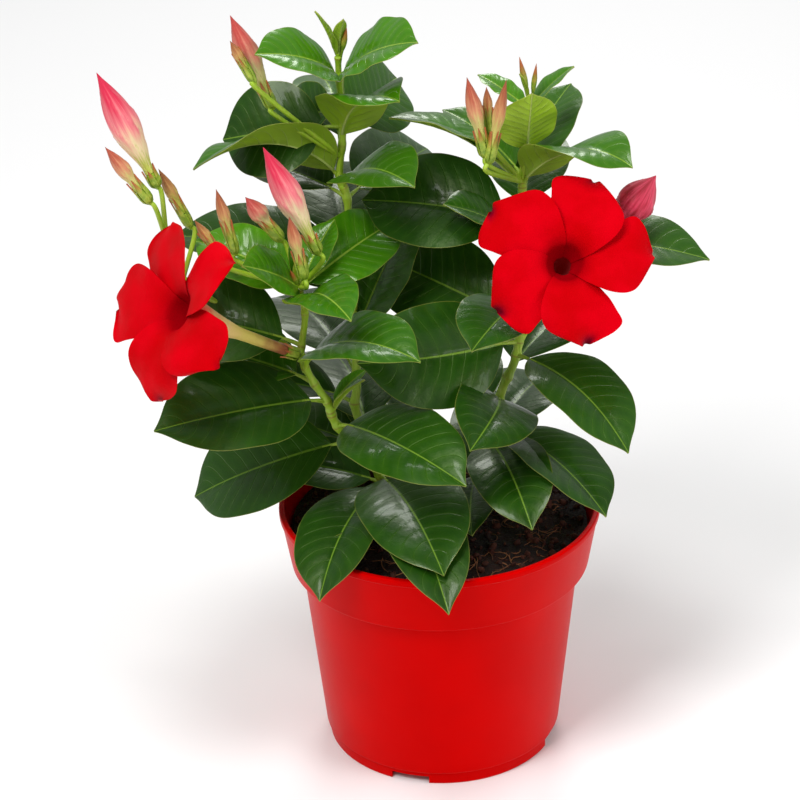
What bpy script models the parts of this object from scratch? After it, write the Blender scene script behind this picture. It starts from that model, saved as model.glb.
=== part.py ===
"""A mandevilla in bloom, rooted in a red plastic pot.

Blender 4.5, metres, +Z up. The origin is on the pot's axis, on the plane the pot stands on.
+Y points to the back of the plant. Lengths in the tables below are millimetres, angles are degrees.
"""

import math

import bmesh
import bpy
from mathutils import Matrix, Vector

MM = 0.001
GAP = 0.3

# The pot, turned about its axis
POT_HEIGHT = 113.8
RIM_RADIUS = 70.0
LIP_HEIGHT = 2.8
LIP_OVERHANG = 0.7
COLLAR_BOTTOM = 87.0
COLLAR_BOTTOM_RADIUS = 65.3
BODY_TOP_RADIUS = 60.8
BODY_BOTTOM_RADIUS = 52.3
SKIRT_HEIGHT = 5.9
SKIRT_RADIUS = 50.8
SKIRT_WALL = 2.0
FLOOR_BOTTOM = 4.0
FLOOR_TOP = 6.5
HUB_RADIUS = 14.0
WALL = 2.1
POT_STEPS = 28
NOTCHES = 4
NOTCH_WIDTH = 17.0
NOTCH_HEIGHT = 3.6
FIRST_NOTCH_HEADING = 253.0
DRAIN_HOLES = 4
DRAIN_RADIUS = 4.0
DRAIN_RING_RADIUS = 34.0

# The peat in the pot
SOIL_TOP = 105.5
SOIL_RIM_TOP = 104.0
SOIL_STEPS = 18

# Stems
STEM_RADIUS = 2.3
STEM_TIP_SHARE = 0.55
HOLE_FLOOR = 84.0
HOLE_GAP = 0.4

# A leaf's half width at stations along its blade, as shares of the full half width and length
BLADE_STATIONS = (0.0, 0.16, 0.42, 0.70, 0.89, 1.0)
BLADE_HALF_WIDTHS = (0.05, 0.66, 1.0, 0.84, 0.30, 0.03)
BLADE_COLUMNS = 4
SMALL_BLADE_COLUMNS = 2
SMALL_BLADE_WIDTH = 33.5
BLADE_THICKNESS = 0.9
BLADE_FOLD = 12.0
PETIOLE_WIDTH = 2.4
PETIOLE_LIFT = 8.0

# Centre lines of the stems, from the peat up
STEMS = {
    "left": [
        (-17, 8, 88), (-17, 8, 107), (-25, 2, 125), (-30, -2, 136), (-38, -5, 147), (-44, -7, 157),
        (-47, -9, 168), (-53, -10, 179), (-57, -10, 191), (-55, -8, 208), (-57, -8, 221),
    ],
    "middle": [
        (-12, 26, 88), (-12, 26, 107), (-30, 20, 135), (-36, 20, 150), (-35, 22, 162), (-36, 28, 198),
        (-37, 34, 241), (-40, 34, 253), (-38, 34, 275), (-39, 34, 297), (-39, 33, 308),
    ],
    "right": [
        (14, 14, 88), (14, 14, 107), (23, 10, 143), (28, 8, 164), (34, 8, 180), (37, 12, 204),
        (38, 16, 230), (37, 18, 256), (39, 20, 274), (40, 20, 293),
    ],
}

# Leaves: height on the stem, heading (0 is +X, 90 is +Y), pitch, length, width, roll, bend, petiole,
# and for a blade that turns over: its twist from foot to tip and its lean at the foot
LEAVES = {
    "left": [
        (121, 250, -14, 72, 38, 10, 45, 9),
        (126, 289, -5, 76, 45, 10, 32, 9),
        (116, 284, -8, 86, 36, 0, 54, 14),
        (112, 232, 2, 56, 30, 10, 12, 9),
        (119, 172, 7, 44, 32, -15, 25, 9),
        (146, 168, -27, 70, 45, -39, 40, 9),
        (155, 314, -2, 71, 42, 14, 40, 9),
        (168, 204, 1, 70, 46, -25, 30, 9),
        (177, 152, 2, 62, 38, -20, 30, 9),
        (185, 322, 15, 62, 37, 11, 75, 6),
        (195, 164, 5, 60, 44, -30, 30, 9),
        (209, 296, 15, 48, 28, 11, 80, 6),
        (220, 156, 15, 46, 29, -25, 32, 5),
        (220, 235, 33, 42, 24, -44, 22, 5),
        (220, 44, 13, 54, 31, 30, 22, 5),
        (220, 52, 42, 30, 16, 6, 25, 4),
    ],
    "middle": [
        (114, 150, 4, 70, 42, 0, 35, 9),
        (114, 103, 6, 70, 40, 0, 35, 9),
        (135, 105, 0, 74, 44, 0, 40, 9),
        (152, 172, 0, 70, 44, 0, 38, 9),
        (165, 118, 0, 72, 43, 0, 40, 9),
        (178, 42, 54, 56, 38, 0, 20, 9),
        (196, 140, 5, 70, 42, 0, 38, 9),
        (213, 169, 4, 71, 44, -10, 25, 9),
        (216, 95, 8, 68, 42, 0, 35, 9),
        (243, 65, -7, 70, 41, 27, 25, 9),
        (243, 139, 1, 51, 30, -12, 23, 9),
        (248, 304, 16, 55, 34, 17, 60, 6),
        (252, 200, 9, 62, 34, 0, 86, 6, -60, 66),
        (276, 166, -12, 46, 42, -52, 30, 8),
        (266, 100, 6, 56, 34, 0, 35, 8),
        (268, 310, 34, 46, 34, 0, 80, 5, 88, -56),
        (278, 66, 0, 48, 38, 50, 20, 5),
        (283, 138, -20, 34, 28, -50, 20, 5),
        (297, 221, 25, 46, 29, -29, 50, 5),
        (297, 322, 29, 46, 33, 28, 38, 5),
    ],
    "right": [
        (112, 8, 5, 46, 30, 0, 35, 9),
        (114, 76, 5, 66, 38, 0, 35, 9),
        (122, 267, -4, 47, 28, 20, 20, 9),
        (138, 285, -10, 61, 34, 12, 45, 9),
        (134, 64, 0, 60, 38, 0, 40, 9),
        (145, 311, -16, 64, 40, -10, 35, 9),
        (158, 256, 4, 56, 36, -24, 50, 9),
        (150, 118, 0, 66, 42, 0, 40, 9),
        (170, 62, -2, 68, 42, 0, 40, 9),
        (186, 201, 3, 66, 45, -60, 22, 9),
        (180, 311, -20, 64, 35, 5, 45, 9),
        (194, 140, 6, 70, 43, -45, 27, 9),
        (197, 62, 4, 66, 40, 0, 36, 9),
        (200, 248, 4, 54, 34, -7, 45, 9),
        (226, 350, -3, 67, 38, 10, 30, 12),
        (224, 40, 0, 50, 32, 0, 36, 12),
        (230, 195, 28, 34, 27, -10, 20, 8),
        (238, 166, 2, 62, 46, -35, 25, 9),
        (240, 86, 8, 58, 36, 0, 34, 8),
        (254, 176, 26, 58, 32, 12, 45, 6),
        (254, 324, 17, 54, 32, 0, 80, 6, 85, -52),
        (256, 285, 74, 29, 26, 0, -20, 18),
        (252, 62, 30, 50, 34, -10, 25, 8),
        (258, 140, 22, 42, 26, 0, 35, 6),
        (287, 144, 21, 25, 14, 3, 25, 3),
        (287, 27, 34, 24, 14, -12, 23, 3),
    ],
}

# Flower stalks that carry several buds: stem, radius and centre line
STALKS = [
    ("left", 1.3, [(-57, -10, 191), (-83, 2, 203), (-106, 2, 222), (-112, 1, 240)]),
]

# Buds: stem, where the stalk leaves it, the foot and tip of the rolled corolla, its radius
BUDS = {
    "bud_left_1": ("left", (-112, 1, 240), (-117, 0, 271), (-136, 0, 315), 8.0),
    "bud_left_2": ("left", (-112, 1, 240), (-121, -6, 266), (-134, -6, 285), 3.4),
    "bud_left_3": ("left", (-106, 2, 222), (-105, 6, 250), (-114, 6, 270), 2.6),
    "bud_left_4": ("left", (-57, -8, 221), (-51, -14, 246), (-69, -14, 287), 7.4),
    "bud_left_5": ("left", (-57, -8, 221), (-68, -2, 246), (-78, -2, 260), 4.0),
    "bud_left_6": ("left", (-57, -8, 221), (-55, -27, 241), (-59, -27, 262), 2.8),
    "bud_left_7": ("left", (-57, -8, 221), (-84, -14, 247), (-89, -14, 269), 2.6),
    "bud_left_8": ("left", (-57, -8, 221), (-90, -20, 245), (-98, -20, 258), 2.2),
    "bud_middle_1": ("middle", (-39, 34, 262), (-69, 18, 298), (-82, 18, 332), 5.6),
    "bud_middle_2": ("middle", (-39, 34, 262), (-76, 10, 312), (-82, 10, 324), 2.2),
    "bud_right_1": ("right", (37, 18, 256), (20, -2, 283), (14, -2, 311), 4.2),
    "bud_right_2": ("right", (37, 18, 256), (23, 5, 289), (22, 5, 304), 2.4),
    "bud_right_3": ("right", (37, 18, 256), (24, -4, 281), (30, -5, 311), 3.0),
    "closed_bloom": ("right", (38, 15, 226), (76, 6, 240), (92, 6, 263), 8.0),
}

# Blooms: stem, where the stalk leaves it, the tube's foot, the throat, turn about the axis
BLOOMS = {
    "bloom_left": ("left", (-56, -10, 183), (-63, -20, 198), (-105, -45, 229), 20.0),
    "bloom_right": ("right", (34, 8, 182), (50, 8, 216), (53, -28, 240), 8.0),
}

# A bloom's five lobes: distance from the axis, half width and lift at stations along a lobe
LOBES = 5
LOBE_STATIONS = (5.5, 9.0, 18.0, 29.0, 37.0)
LOBE_HALF_WIDTHS = (3.6, 6.5, 14.0, 16.5, 7.0)
LOBE_LIFTS = (-5.0, 0.5, 3.5, 2.5, -2.0)
LOBE_ROUNDING = 5.0
LOBE_SKEW = 5.0
LOBE_TILT = 9.0
LOBE_COLUMNS = 4

# The green cup under each corolla, and the stalk below it
CALYX_LENGTH = 8.0
CALYX_RADIUS = 2.2
STALK_RADIUS = 1.1


def mm(*values):
    """A point given in millimetres, in metres."""
    return Vector(values) * MM


def material(name, colour, roughness, coat=0.0):
    made = bpy.data.materials.new(name)
    made.use_nodes = True
    shader = made.node_tree.nodes["Principled BSDF"]
    shader.inputs["Base Color"].default_value = (*colour, 1.0)
    shader.inputs["Roughness"].default_value = roughness
    shader.inputs["Metallic"].default_value = 0.0
    shader.inputs["Coat Weight"].default_value = coat
    return made


def collection(name, hidden=False):
    made = bpy.data.collections.new(name)
    made.hide_render = hidden
    bpy.context.scene.collection.children.link(made)
    return made


def add(name, mesh, where, finish=None):
    made = bpy.data.objects.new(name, mesh)
    where.objects.link(made)
    if finish:
        mesh.materials.append(finish)
    return made


def evaluated_copy(source, name, where, finish=None):
    """A plain mesh object of what source looks like with its modifiers, with its caps welded."""
    graph = bpy.context.evaluated_depsgraph_get()
    mesh = bpy.data.meshes.new_from_object(source.evaluated_get(graph))
    mesh.materials.clear()
    shape = bmesh.new()
    shape.from_mesh(mesh)
    bmesh.ops.remove_doubles(shape, verts=shape.verts, dist=1e-6)
    bmesh.ops.recalc_face_normals(shape, faces=shape.faces)
    shape.to_mesh(mesh)
    shape.free()
    place = source.matrix_world.copy()
    bpy.data.objects.remove(source)
    made = add(name, mesh, where, finish)
    made.matrix_world = place
    return made


def turned(name, profile, steps, where, finish=None):
    """A solid turned about +Z from (radius, height) points that run down its outer side."""
    mesh = bpy.data.meshes.new(name)
    points = [mm(radius, 0, height) for radius, height in profile]
    mesh.from_pydata(points, [(i, i + 1) for i in range(len(points) - 1)], [])
    made = add(name, mesh, where)
    screw = made.modifiers.new("Turn", "SCREW")
    screw.angle = math.tau
    screw.steps = screw.render_steps = steps
    screw.use_merge_vertices = True
    screw.merge_threshold = 1e-6
    return evaluated_copy(made, name, where, finish)


def tube(name, points, radius, where, tip_share=1.0, sides=1):
    """A round stem along points, thinner at its end by tip_share."""
    curve = bpy.data.curves.new(name, "CURVE")
    curve.dimensions = "3D"
    curve.bevel_depth = radius * MM
    curve.bevel_resolution = sides
    curve.use_fill_caps = True
    spline = curve.splines.new("POLY")
    spline.points.add(len(points) - 1)
    for i, (point, place) in enumerate(zip(spline.points, points)):
        point.co = (*mm(*place), 1.0)
        point.radius = 1 + (tip_share - 1) * i / (len(points) - 1)
    made = add(name, curve, where)
    bpy.context.view_layer.update()
    return evaluated_copy(made, name, where)


def outer_skin(mesh):
    """Keeps the largest connected skin, so a hollow that a union has sealed is filled."""
    shape = bmesh.new()
    shape.from_mesh(mesh)
    left = set(shape.verts)
    skins = []
    while left:
        skin = {left.pop()}
        edge_of = list(skin)
        while edge_of:
            vert = edge_of.pop()
            for edge in vert.link_edges:
                other = edge.other_vert(vert)
                if other not in skin:
                    skin.add(other)
                    edge_of.append(other)
        left -= skin
        skins.append(skin)
    largest = max(skins, key=len)
    for skin in skins:
        if skin is not largest:
            bmesh.ops.delete(shape, geom=list(skin), context="VERTS")
    shape.to_mesh(mesh)
    shape.free()
    return mesh


def join(body, pieces, operation="UNION"):
    """Adds or cuts every object of the collection pieces, and removes them."""
    step = body.modifiers.new("Join", "BOOLEAN")
    step.operation = operation
    step.operand_type = "COLLECTION"
    step.collection = pieces
    step.solver = "MANIFOLD"
    graph = bpy.context.evaluated_depsgraph_get()
    mesh = bpy.data.meshes.new_from_object(body.evaluated_get(graph))
    body.modifiers.clear()
    finish = body.data.materials[0]
    body.data = outer_skin(mesh)
    mesh.materials.clear()
    mesh.materials.append(finish)
    for piece in list(pieces.objects):
        bpy.data.objects.remove(piece)


def aimed(start, end):
    """The matrix that puts an object's origin at start and its +Z towards end."""
    start, end = Vector(start), Vector(end)
    turn = (end - start).to_track_quat("Z", "Y").to_matrix().to_4x4()
    return Matrix.Translation(start * MM) @ turn


def on_stem(stem, height):
    """The point of a stem's centre line at a height."""
    line = STEMS[stem]
    for low, high in zip(line, line[1:]):
        if low[2] <= height <= high[2]:
            share = (height - low[2]) / (high[2] - low[2])
            return Vector(low).lerp(Vector(high), share)
    raise ValueError(f"{stem} doesn't reach {height}")


def leaf_axes(heading, pitch, roll):
    """Unit vectors along the leaf, to its right seen from above, and out of its upper face."""
    heading, pitch, roll = (math.radians(angle) for angle in (heading, pitch, roll))
    along = Vector((
        math.cos(pitch) * math.cos(heading), math.cos(pitch) * math.sin(heading), math.sin(pitch),
    ))
    side = Vector((math.sin(heading), -math.cos(heading), 0))
    up = side.cross(along)
    return (
        along,
        side * math.cos(roll) - up * math.sin(roll),
        up * math.cos(roll) + side * math.sin(roll),
    )


def leaf(name, where, root, heading, pitch, length, width, roll, bend, petiole, twist=0, lean=0):
    """One leaf: a petiole strip and an arched, lightly folded blade, as one solid."""
    along, side, up = leaf_axes(heading, pitch, roll)
    arc = math.radians(bend)
    radius = length / (2 * math.sin(arc / 2))
    rise = arc / 2 + math.radians(PETIOLE_LIFT)
    blade_foot = root + (along * math.cos(rise) + up * math.sin(rise)) * petiole
    shape = bmesh.new()
    rows = len(BLADE_STATIONS)
    columns = BLADE_COLUMNS if width > SMALL_BLADE_WIDTH else SMALL_BLADE_COLUMNS
    bmesh.ops.create_grid(shape, x_segments=columns, y_segments=rows, size=1)
    bmesh.ops.triangulate(shape, faces=shape.faces, quad_method="FIXED")
    across_all = sorted({round(vert.co.x, 4) for vert in shape.verts})
    along_all = sorted({round(vert.co.y, 4) for vert in shape.verts})
    for vert in shape.verts:
        across = -1 + 2 * across_all.index(round(vert.co.x, 4)) / (len(across_all) - 1)
        row = along_all.index(round(vert.co.y, 4)) - 1
        if row < 0:
            vert.co = (root + side * across * PETIOLE_WIDTH / 2) * MM
            continue
        station = BLADE_STATIONS[row]
        angle = arc / 2 - arc * station
        run = radius * (math.sin(arc / 2) - math.sin(angle))
        lift = radius * (math.cos(angle) - math.cos(arc / 2))
        out = up * math.cos(angle) - along * math.sin(angle)
        ahead = along * math.cos(angle) + up * math.sin(angle)
        turn = Matrix.Rotation(math.radians(lean + twist * station), 3, ahead)
        out, beside = turn @ out, turn @ side
        half = width / 2 * BLADE_HALF_WIDTHS[row]
        fold = 1.6 * math.tan(math.radians(BLADE_FOLD)) * (abs(across) - across * across / 2)
        vert.co = (
            blade_foot + along * run + up * lift + beside * across * half + out * half * fold
        ) * MM
    bmesh.ops.recalc_face_normals(shape, faces=shape.faces)
    bmesh.ops.solidify(shape, geom=shape.faces[:], thickness=BLADE_THICKNESS * MM)
    bmesh.ops.recalc_face_normals(shape, faces=shape.faces)
    mesh = bpy.data.meshes.new(name)
    shape.to_mesh(mesh)
    shape.free()
    return add(name, mesh, where)


def pot(where, cutters, finish):
    """The pot, open at the top, with a notched skirt, drain holes and a flat hub under its middle."""
    lip_radius = RIM_RADIUS
    collar_radius = RIM_RADIUS - LIP_OVERHANG
    inner_top = collar_radius - WALL
    profile = [
        (0, FLOOR_TOP),
        (BODY_BOTTOM_RADIUS - WALL - 1, FLOOR_TOP),
        (BODY_TOP_RADIUS - WALL, COLLAR_BOTTOM - 2),
        (COLLAR_BOTTOM_RADIUS - WALL, COLLAR_BOTTOM + 2),
        (inner_top, POT_HEIGHT - 0.8),
        (inner_top + 0.5, POT_HEIGHT),
        (lip_radius - 0.4, POT_HEIGHT),
        (lip_radius, POT_HEIGHT - 0.5),
        (lip_radius, POT_HEIGHT - LIP_HEIGHT),
        (collar_radius, POT_HEIGHT - LIP_HEIGHT - 0.4),
        (COLLAR_BOTTOM_RADIUS, COLLAR_BOTTOM + 0.6),
        (COLLAR_BOTTOM_RADIUS - 0.6, COLLAR_BOTTOM),
        (BODY_TOP_RADIUS, COLLAR_BOTTOM),
        (BODY_BOTTOM_RADIUS, SKIRT_HEIGHT + 0.6),
        (BODY_BOTTOM_RADIUS - 0.5, SKIRT_HEIGHT),
        (SKIRT_RADIUS, SKIRT_HEIGHT),
        (SKIRT_RADIUS, 0),
        (SKIRT_RADIUS - SKIRT_WALL, 0),
        (SKIRT_RADIUS - SKIRT_WALL, FLOOR_BOTTOM),
        (HUB_RADIUS + 1, FLOOR_BOTTOM),
        (HUB_RADIUS, 0),
        (0, 0),
    ]
    body = turned("pot", profile, POT_STEPS, where, finish)
    for i in range(NOTCHES):
        heading = math.radians(FIRST_NOTCH_HEADING + 360 / NOTCHES * i)
        bpy.ops.mesh.primitive_cube_add(size=1)
        notch = bpy.context.object
        notch.name = f"notch_{i}"
        notch.scale = mm(12, NOTCH_WIDTH, 2 * NOTCH_HEIGHT)
        notch.rotation_euler.z = heading
        notch.location = mm(SKIRT_RADIUS * math.cos(heading), SKIRT_RADIUS * math.sin(heading), 0)
        move(notch, cutters)
    for i in range(DRAIN_HOLES):
        heading = math.tau * i / DRAIN_HOLES
        place = (DRAIN_RING_RADIUS * math.cos(heading), DRAIN_RING_RADIUS * math.sin(heading))
        drain = rod(f"drain_{i}", DRAIN_RADIUS, *place, FLOOR_BOTTOM - 2, FLOOR_TOP + 2)
        move(drain, cutters)
    join(body, cutters, "DIFFERENCE")
    return body


def move(piece, where):
    for holder in list(piece.users_collection):
        holder.objects.unlink(piece)
    where.objects.link(piece)
    if where.hide_render:
        piece.hide_render = True
        piece.display_type = "WIRE"


def rod(name, radius, x, y, low, high, sides=12):
    """An upright round rod at x, y from low to high."""
    bpy.ops.mesh.primitive_cylinder_add(
        vertices=sides, radius=radius * MM, depth=(high - low) * MM, location=mm(x, y, (low + high) / 2),
    )
    bpy.context.object.name = name
    return bpy.context.object


def soil(where, cutters, finish):
    """The peat: it fills the pot below the rim, and each stem stands in a plain hole in it."""
    side = WALL + GAP
    profile = [
        (0, SOIL_TOP),
        (20, SOIL_TOP + 0.8),
        (40, SOIL_TOP - 0.4),
        (55, SOIL_TOP),
        (COLLAR_BOTTOM_RADIUS - side + 1.9, SOIL_RIM_TOP),
        (COLLAR_BOTTOM_RADIUS - side, COLLAR_BOTTOM + 3),
        (BODY_TOP_RADIUS - side - 0.4, COLLAR_BOTTOM - 2),
        (BODY_BOTTOM_RADIUS - side - 1.2, FLOOR_TOP + GAP),
        (0, FLOOR_TOP + GAP),
    ]
    body = turned("soil", profile, SOIL_STEPS, where, finish)
    for stem, line in STEMS.items():
        x, y, _ = line[0]
        hole = rod(f"hole_{stem}", STEM_RADIUS + HOLE_GAP, x, y, HOLE_FLOOR, SOIL_TOP + 5)
        move(hole, cutters)
    join(body, cutters, "DIFFERENCE")
    return body


def seat(name, start, base, ahead, radius, where):
    """A stalk from the stem to the green cup on which the corolla that points ahead stands."""
    base, ahead = Vector(base), Vector(ahead)
    axis = (ahead - base).normalized()
    foot = base - axis * CALYX_LENGTH
    length = CALYX_LENGTH - GAP
    tube(f"stalk_{name}", [start, foot - axis * 3, foot + axis], STALK_RADIUS, where, 0.9, 0)
    profile = [(0, length), (radius, length), (radius * 0.95, length / 2), (1.0, 0), (0, 0)]
    cup = turned(f"calyx_{name}", profile, 8, where)
    cup.matrix_world = aimed(foot, base)
    return cup


def shoot(stem, where, finish):
    """One leafy stem with its leaves, its flower stalks and the green cups of its buds and blooms."""
    body = tube(f"shoot_{stem}", STEMS[stem], STEM_RADIUS, where, STEM_TIP_SHARE)
    body.data.materials.append(finish)
    pieces = collection(f"pieces_{stem}")
    for i, row in enumerate(LEAVES[stem]):
        leaf(f"leaf_{stem}_{i}", pieces, on_stem(stem, row[0]), *row[1:])
    for i, (owner, radius, points) in enumerate(STALKS):
        if owner == stem:
            tube(f"stalk_{stem}_{i}", points, radius, pieces, 0.9, 0)
    for name, (owner, start, base, tip, radius) in BUDS.items():
        if owner == stem:
            seat(name, start, base, tip, min(CALYX_RADIUS, radius * 0.7), pieces)
    for name, (owner, start, foot, throat, _) in BLOOMS.items():
        if owner == stem:
            seat(name, start, foot, throat, CALYX_RADIUS, pieces)
    join(body, pieces)
    bpy.data.collections.remove(pieces)
    return body


def bud(name, base, tip, radius, where, finish):
    """A rolled corolla: a narrow foot that swells and comes to a point."""
    length = (Vector(tip) - Vector(base)).length
    foot_radius = min(CALYX_RADIUS, radius * 0.7)
    profile = [
        (0, length),
        (radius * 0.30, length * 0.90),
        (radius * 0.78, length * 0.70),
        (radius, length * 0.48),
        (radius * 0.80, length * 0.26),
        (foot_radius, length * 0.06),
        (foot_radius, 0),
        (0, 0),
    ]
    made = turned(name, profile, 8, where, finish)
    made.matrix_world = aimed(base, tip)
    return made


def lobe(name, heading, where):
    """One petal lobe, wider on one side, tilted so that each overlaps the next."""
    shape = bmesh.new()
    rows = len(LOBE_STATIONS) - 1
    bmesh.ops.create_grid(shape, x_segments=LOBE_COLUMNS, y_segments=rows, size=1)
    bmesh.ops.triangulate(shape, faces=shape.faces, quad_method="FIXED")
    across_all = sorted({round(vert.co.x, 4) for vert in shape.verts})
    along_all = sorted({round(vert.co.y, 4) for vert in shape.verts})
    tilt = math.tan(math.radians(LOBE_TILT))
    for vert in shape.verts:
        across = -1 + 2 * across_all.index(round(vert.co.x, 4)) / (len(across_all) - 1)
        row = along_all.index(round(vert.co.y, 4))
        out = LOBE_STATIONS[row] - LOBE_ROUNDING * across * across * (row / rows)
        half = LOBE_HALF_WIDTHS[row]
        over = half * across + LOBE_SKEW * row / rows
        lift = LOBE_LIFTS[row] + over * tilt * min(1.0, row / 2)
        vert.co = mm(out, over, lift)
    bmesh.ops.recalc_face_normals(shape, faces=shape.faces)
    bmesh.ops.solidify(shape, geom=shape.faces[:], thickness=BLADE_THICKNESS * MM)
    bmesh.ops.recalc_face_normals(shape, faces=shape.faces)
    bmesh.ops.rotate(shape, verts=shape.verts, matrix=Matrix.Rotation(heading, 3, "Z"))
    mesh = bpy.data.meshes.new(name)
    shape.to_mesh(mesh)
    shape.free()
    return add(name, mesh, where)


def bloom(name, foot, throat, turn, where, finish):
    """An open corolla: a narrow tube, a funnel and five overlapping lobes."""
    length = (Vector(throat) - Vector(foot)).length
    profile = [
        (0, -length * 0.55),
        (1.6, -length * 0.52),
        (3.4, -length * 0.36),
        (6.6, -length * 0.12),
        (8.4, 0.3),
        (9.4, 0),
        (7.9, -length * 0.12),
        (4.6, -length * 0.36),
        (2.6, -length * 0.55),
        (2.2, -length),
        (0, -length),
    ]
    body = turned(name, profile, 12, where, finish)
    pieces = collection(f"pieces_{name}")
    for i in range(LOBES):
        lobe(f"lobe_{name}_{i}", math.radians(turn) + math.tau * i / LOBES, pieces)
    join(body, pieces)
    bpy.data.collections.remove(pieces)
    ahead = Vector(throat) + (Vector(throat) - Vector(foot))
    body.matrix_world = aimed(throat, ahead)
    return body


def main():
    for old in list(bpy.data.objects):
        bpy.data.objects.remove(old)
    plant = collection("mandevilla")
    cutters = collection("cutters", hidden=True)
    red_plastic = material("red_plastic", (0.60, 0.002, 0.002), 0.32)
    peat = material("peat", (0.02, 0.008, 0.004), 0.95)
    green = material("leaf_green", (0.03, 0.11, 0.012), 0.35)
    petal = material("petal_red", (0.75, 0.002, 0.008), 0.55)
    rose = material("bud_rose", (0.72, 0.10, 0.14), 0.5)
    pot(plant, cutters, red_plastic)
    soil(plant, cutters, peat)
    for stem in STEMS:
        shoot(stem, plant, green)
    for name, (_, _, foot, throat, turn) in BLOOMS.items():
        bloom(name, foot, throat, turn, plant, petal)
    for name, (_, _, base, tip, radius) in BUDS.items():
        bud(name, base, tip, radius, plant, petal if name == "closed_bloom" else rose)


main()
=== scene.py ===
# %% [markdown]
# # A flowering climber in a red pot
#
# The object is a young mandevilla: three leafy stems in a red plastic pot, with two open red
# flowers, one that is still rolled, and thirteen pointed buds. The solids of every part are
# already there as a fixed frame, in metres. This lesson puts a finer piece over each of them:
# smooth turned plastic, crumbly peat, veined leaves and velvety petals.
#
# All places are in millimetres, as in the frame's own plan. They become metres in one spot.

# %% Load the frame
import math
import random

import bmesh
import bpy
from mathutils import Matrix, Vector, noise


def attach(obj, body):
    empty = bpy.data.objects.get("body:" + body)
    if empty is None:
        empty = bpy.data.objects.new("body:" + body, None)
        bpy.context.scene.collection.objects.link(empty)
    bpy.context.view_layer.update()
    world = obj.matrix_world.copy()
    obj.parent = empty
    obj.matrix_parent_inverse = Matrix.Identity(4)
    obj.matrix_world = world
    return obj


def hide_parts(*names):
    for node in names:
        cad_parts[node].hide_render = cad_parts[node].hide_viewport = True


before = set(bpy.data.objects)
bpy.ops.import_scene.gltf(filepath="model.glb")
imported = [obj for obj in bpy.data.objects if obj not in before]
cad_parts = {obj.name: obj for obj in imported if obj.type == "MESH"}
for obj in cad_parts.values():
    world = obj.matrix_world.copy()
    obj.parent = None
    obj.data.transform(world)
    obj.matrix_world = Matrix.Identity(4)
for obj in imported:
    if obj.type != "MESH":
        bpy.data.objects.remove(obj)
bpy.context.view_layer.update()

MM = 0.001


def add_object(name, data):
    """A new object in the scene for a mesh, a light or a camera."""
    made = bpy.data.objects.new(name, data)
    bpy.context.scene.collection.objects.link(made)
    return made


print("nodes in the frame:", len(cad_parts))

# %% [markdown]
# ## The camera
#
# A product photograph of a plant is taken from a little above, with a long lens, so that the rim
# of the pot stays a flat ellipse. The camera here stands 1.3 m away and looks down by 30 degrees.
# It is panned and tilted off the pot's axis rather than shifted, so that other views stay true.

# %% The camera at the photograph's angle
CAMERA_ELEVATION = math.radians(29.82)
CAMERA_DISTANCE = 1300.0
CAMERA_TARGET_HEIGHT = 100.0
FOCAL_PIXELS = 2964.0
FRAME_PIXELS = 800
SENSOR_WIDTH = 36.0
CLIP_END = 20.0
PAN_PIXELS = 37.6
TILT_PIXELS = 128.6
CAMERA_ROLL = math.radians(-0.92)


def turn_between(first, second, angle):
    """Turns two square directions in their own plane by an angle."""
    turned_first = first * math.cos(angle) - second * math.sin(angle)
    turned_second = second * math.cos(angle) + first * math.sin(angle)
    return turned_first, turned_second


def camera_at_the_photo():
    """A camera whose rows are right, up and back, set from pan, tilt and roll."""
    ahead = Vector((0, math.cos(CAMERA_ELEVATION), -math.sin(CAMERA_ELEVATION)))
    right = Vector((1, 0, 0))
    up = right.cross(ahead)
    place = Vector((0, 0, CAMERA_TARGET_HEIGHT)) - ahead * CAMERA_DISTANCE
    ahead, right = turn_between(ahead, right, math.atan(PAN_PIXELS / FOCAL_PIXELS))
    up, ahead = turn_between(up, ahead, math.atan(TILT_PIXELS / FOCAL_PIXELS))
    up, right = turn_between(up, right, CAMERA_ROLL)
    lens = bpy.data.cameras.new("photo_camera")
    lens.sensor_width = SENSOR_WIDTH
    lens.lens = SENSOR_WIDTH * FOCAL_PIXELS / FRAME_PIXELS
    lens.clip_end = CLIP_END
    camera = add_object("photo_camera", lens)
    camera.matrix_world = Matrix.Translation(place * MM) @ (
        Matrix((right, up, -ahead)).transposed().to_4x4()
    )
    bpy.context.scene.camera = camera
    return camera


print("camera at", [round(x, 3) for x in camera_at_the_photo().location])

# %% [markdown]
# ## Writing materials as sums
#
# A material is a tree of nodes, and most of its nodes do plain arithmetic. The class below wraps
# one socket of a node, so that `1 - vein * 0.5` adds the Math nodes that the sum needs. Every
# other node comes from one method, which first sets the node up and then feeds its sockets.

# %% A socket that can be calculated with
class Value:
    """One output socket in a material. A sum or product with it adds Math nodes to its tree."""

    def __init__(self, socket):
        self.socket = socket

    def maths(self, operation, first, second=0.0):
        node = self.socket.id_data.nodes.new("ShaderNodeMath")
        node.operation = operation
        feed(node.inputs[0], first)
        feed(node.inputs[1], second)
        return Value(node.outputs[0])

    def __add__(self, other):
        return self.maths("ADD", self, other)

    def __radd__(self, other):
        return self.maths("ADD", other, self)

    def __sub__(self, other):
        return self.maths("SUBTRACT", self, other)

    def __rsub__(self, other):
        return self.maths("SUBTRACT", other, self)

    def __mul__(self, other):
        return self.maths("MULTIPLY", self, other)

    def __rmul__(self, other):
        return self.maths("MULTIPLY", other, self)

    def __abs__(self):
        return self.maths("ABSOLUTE", self)


def feed(socket, value):
    """Links a socket to a value, or sets it to a number, a vector or a colour."""
    if isinstance(value, Value):
        socket.id_data.links.new(value.socket, socket)
    elif socket.type == "RGBA":
        socket.default_value = (*value[:3], 1.0)
    else:
        socket.default_value = value


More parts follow.
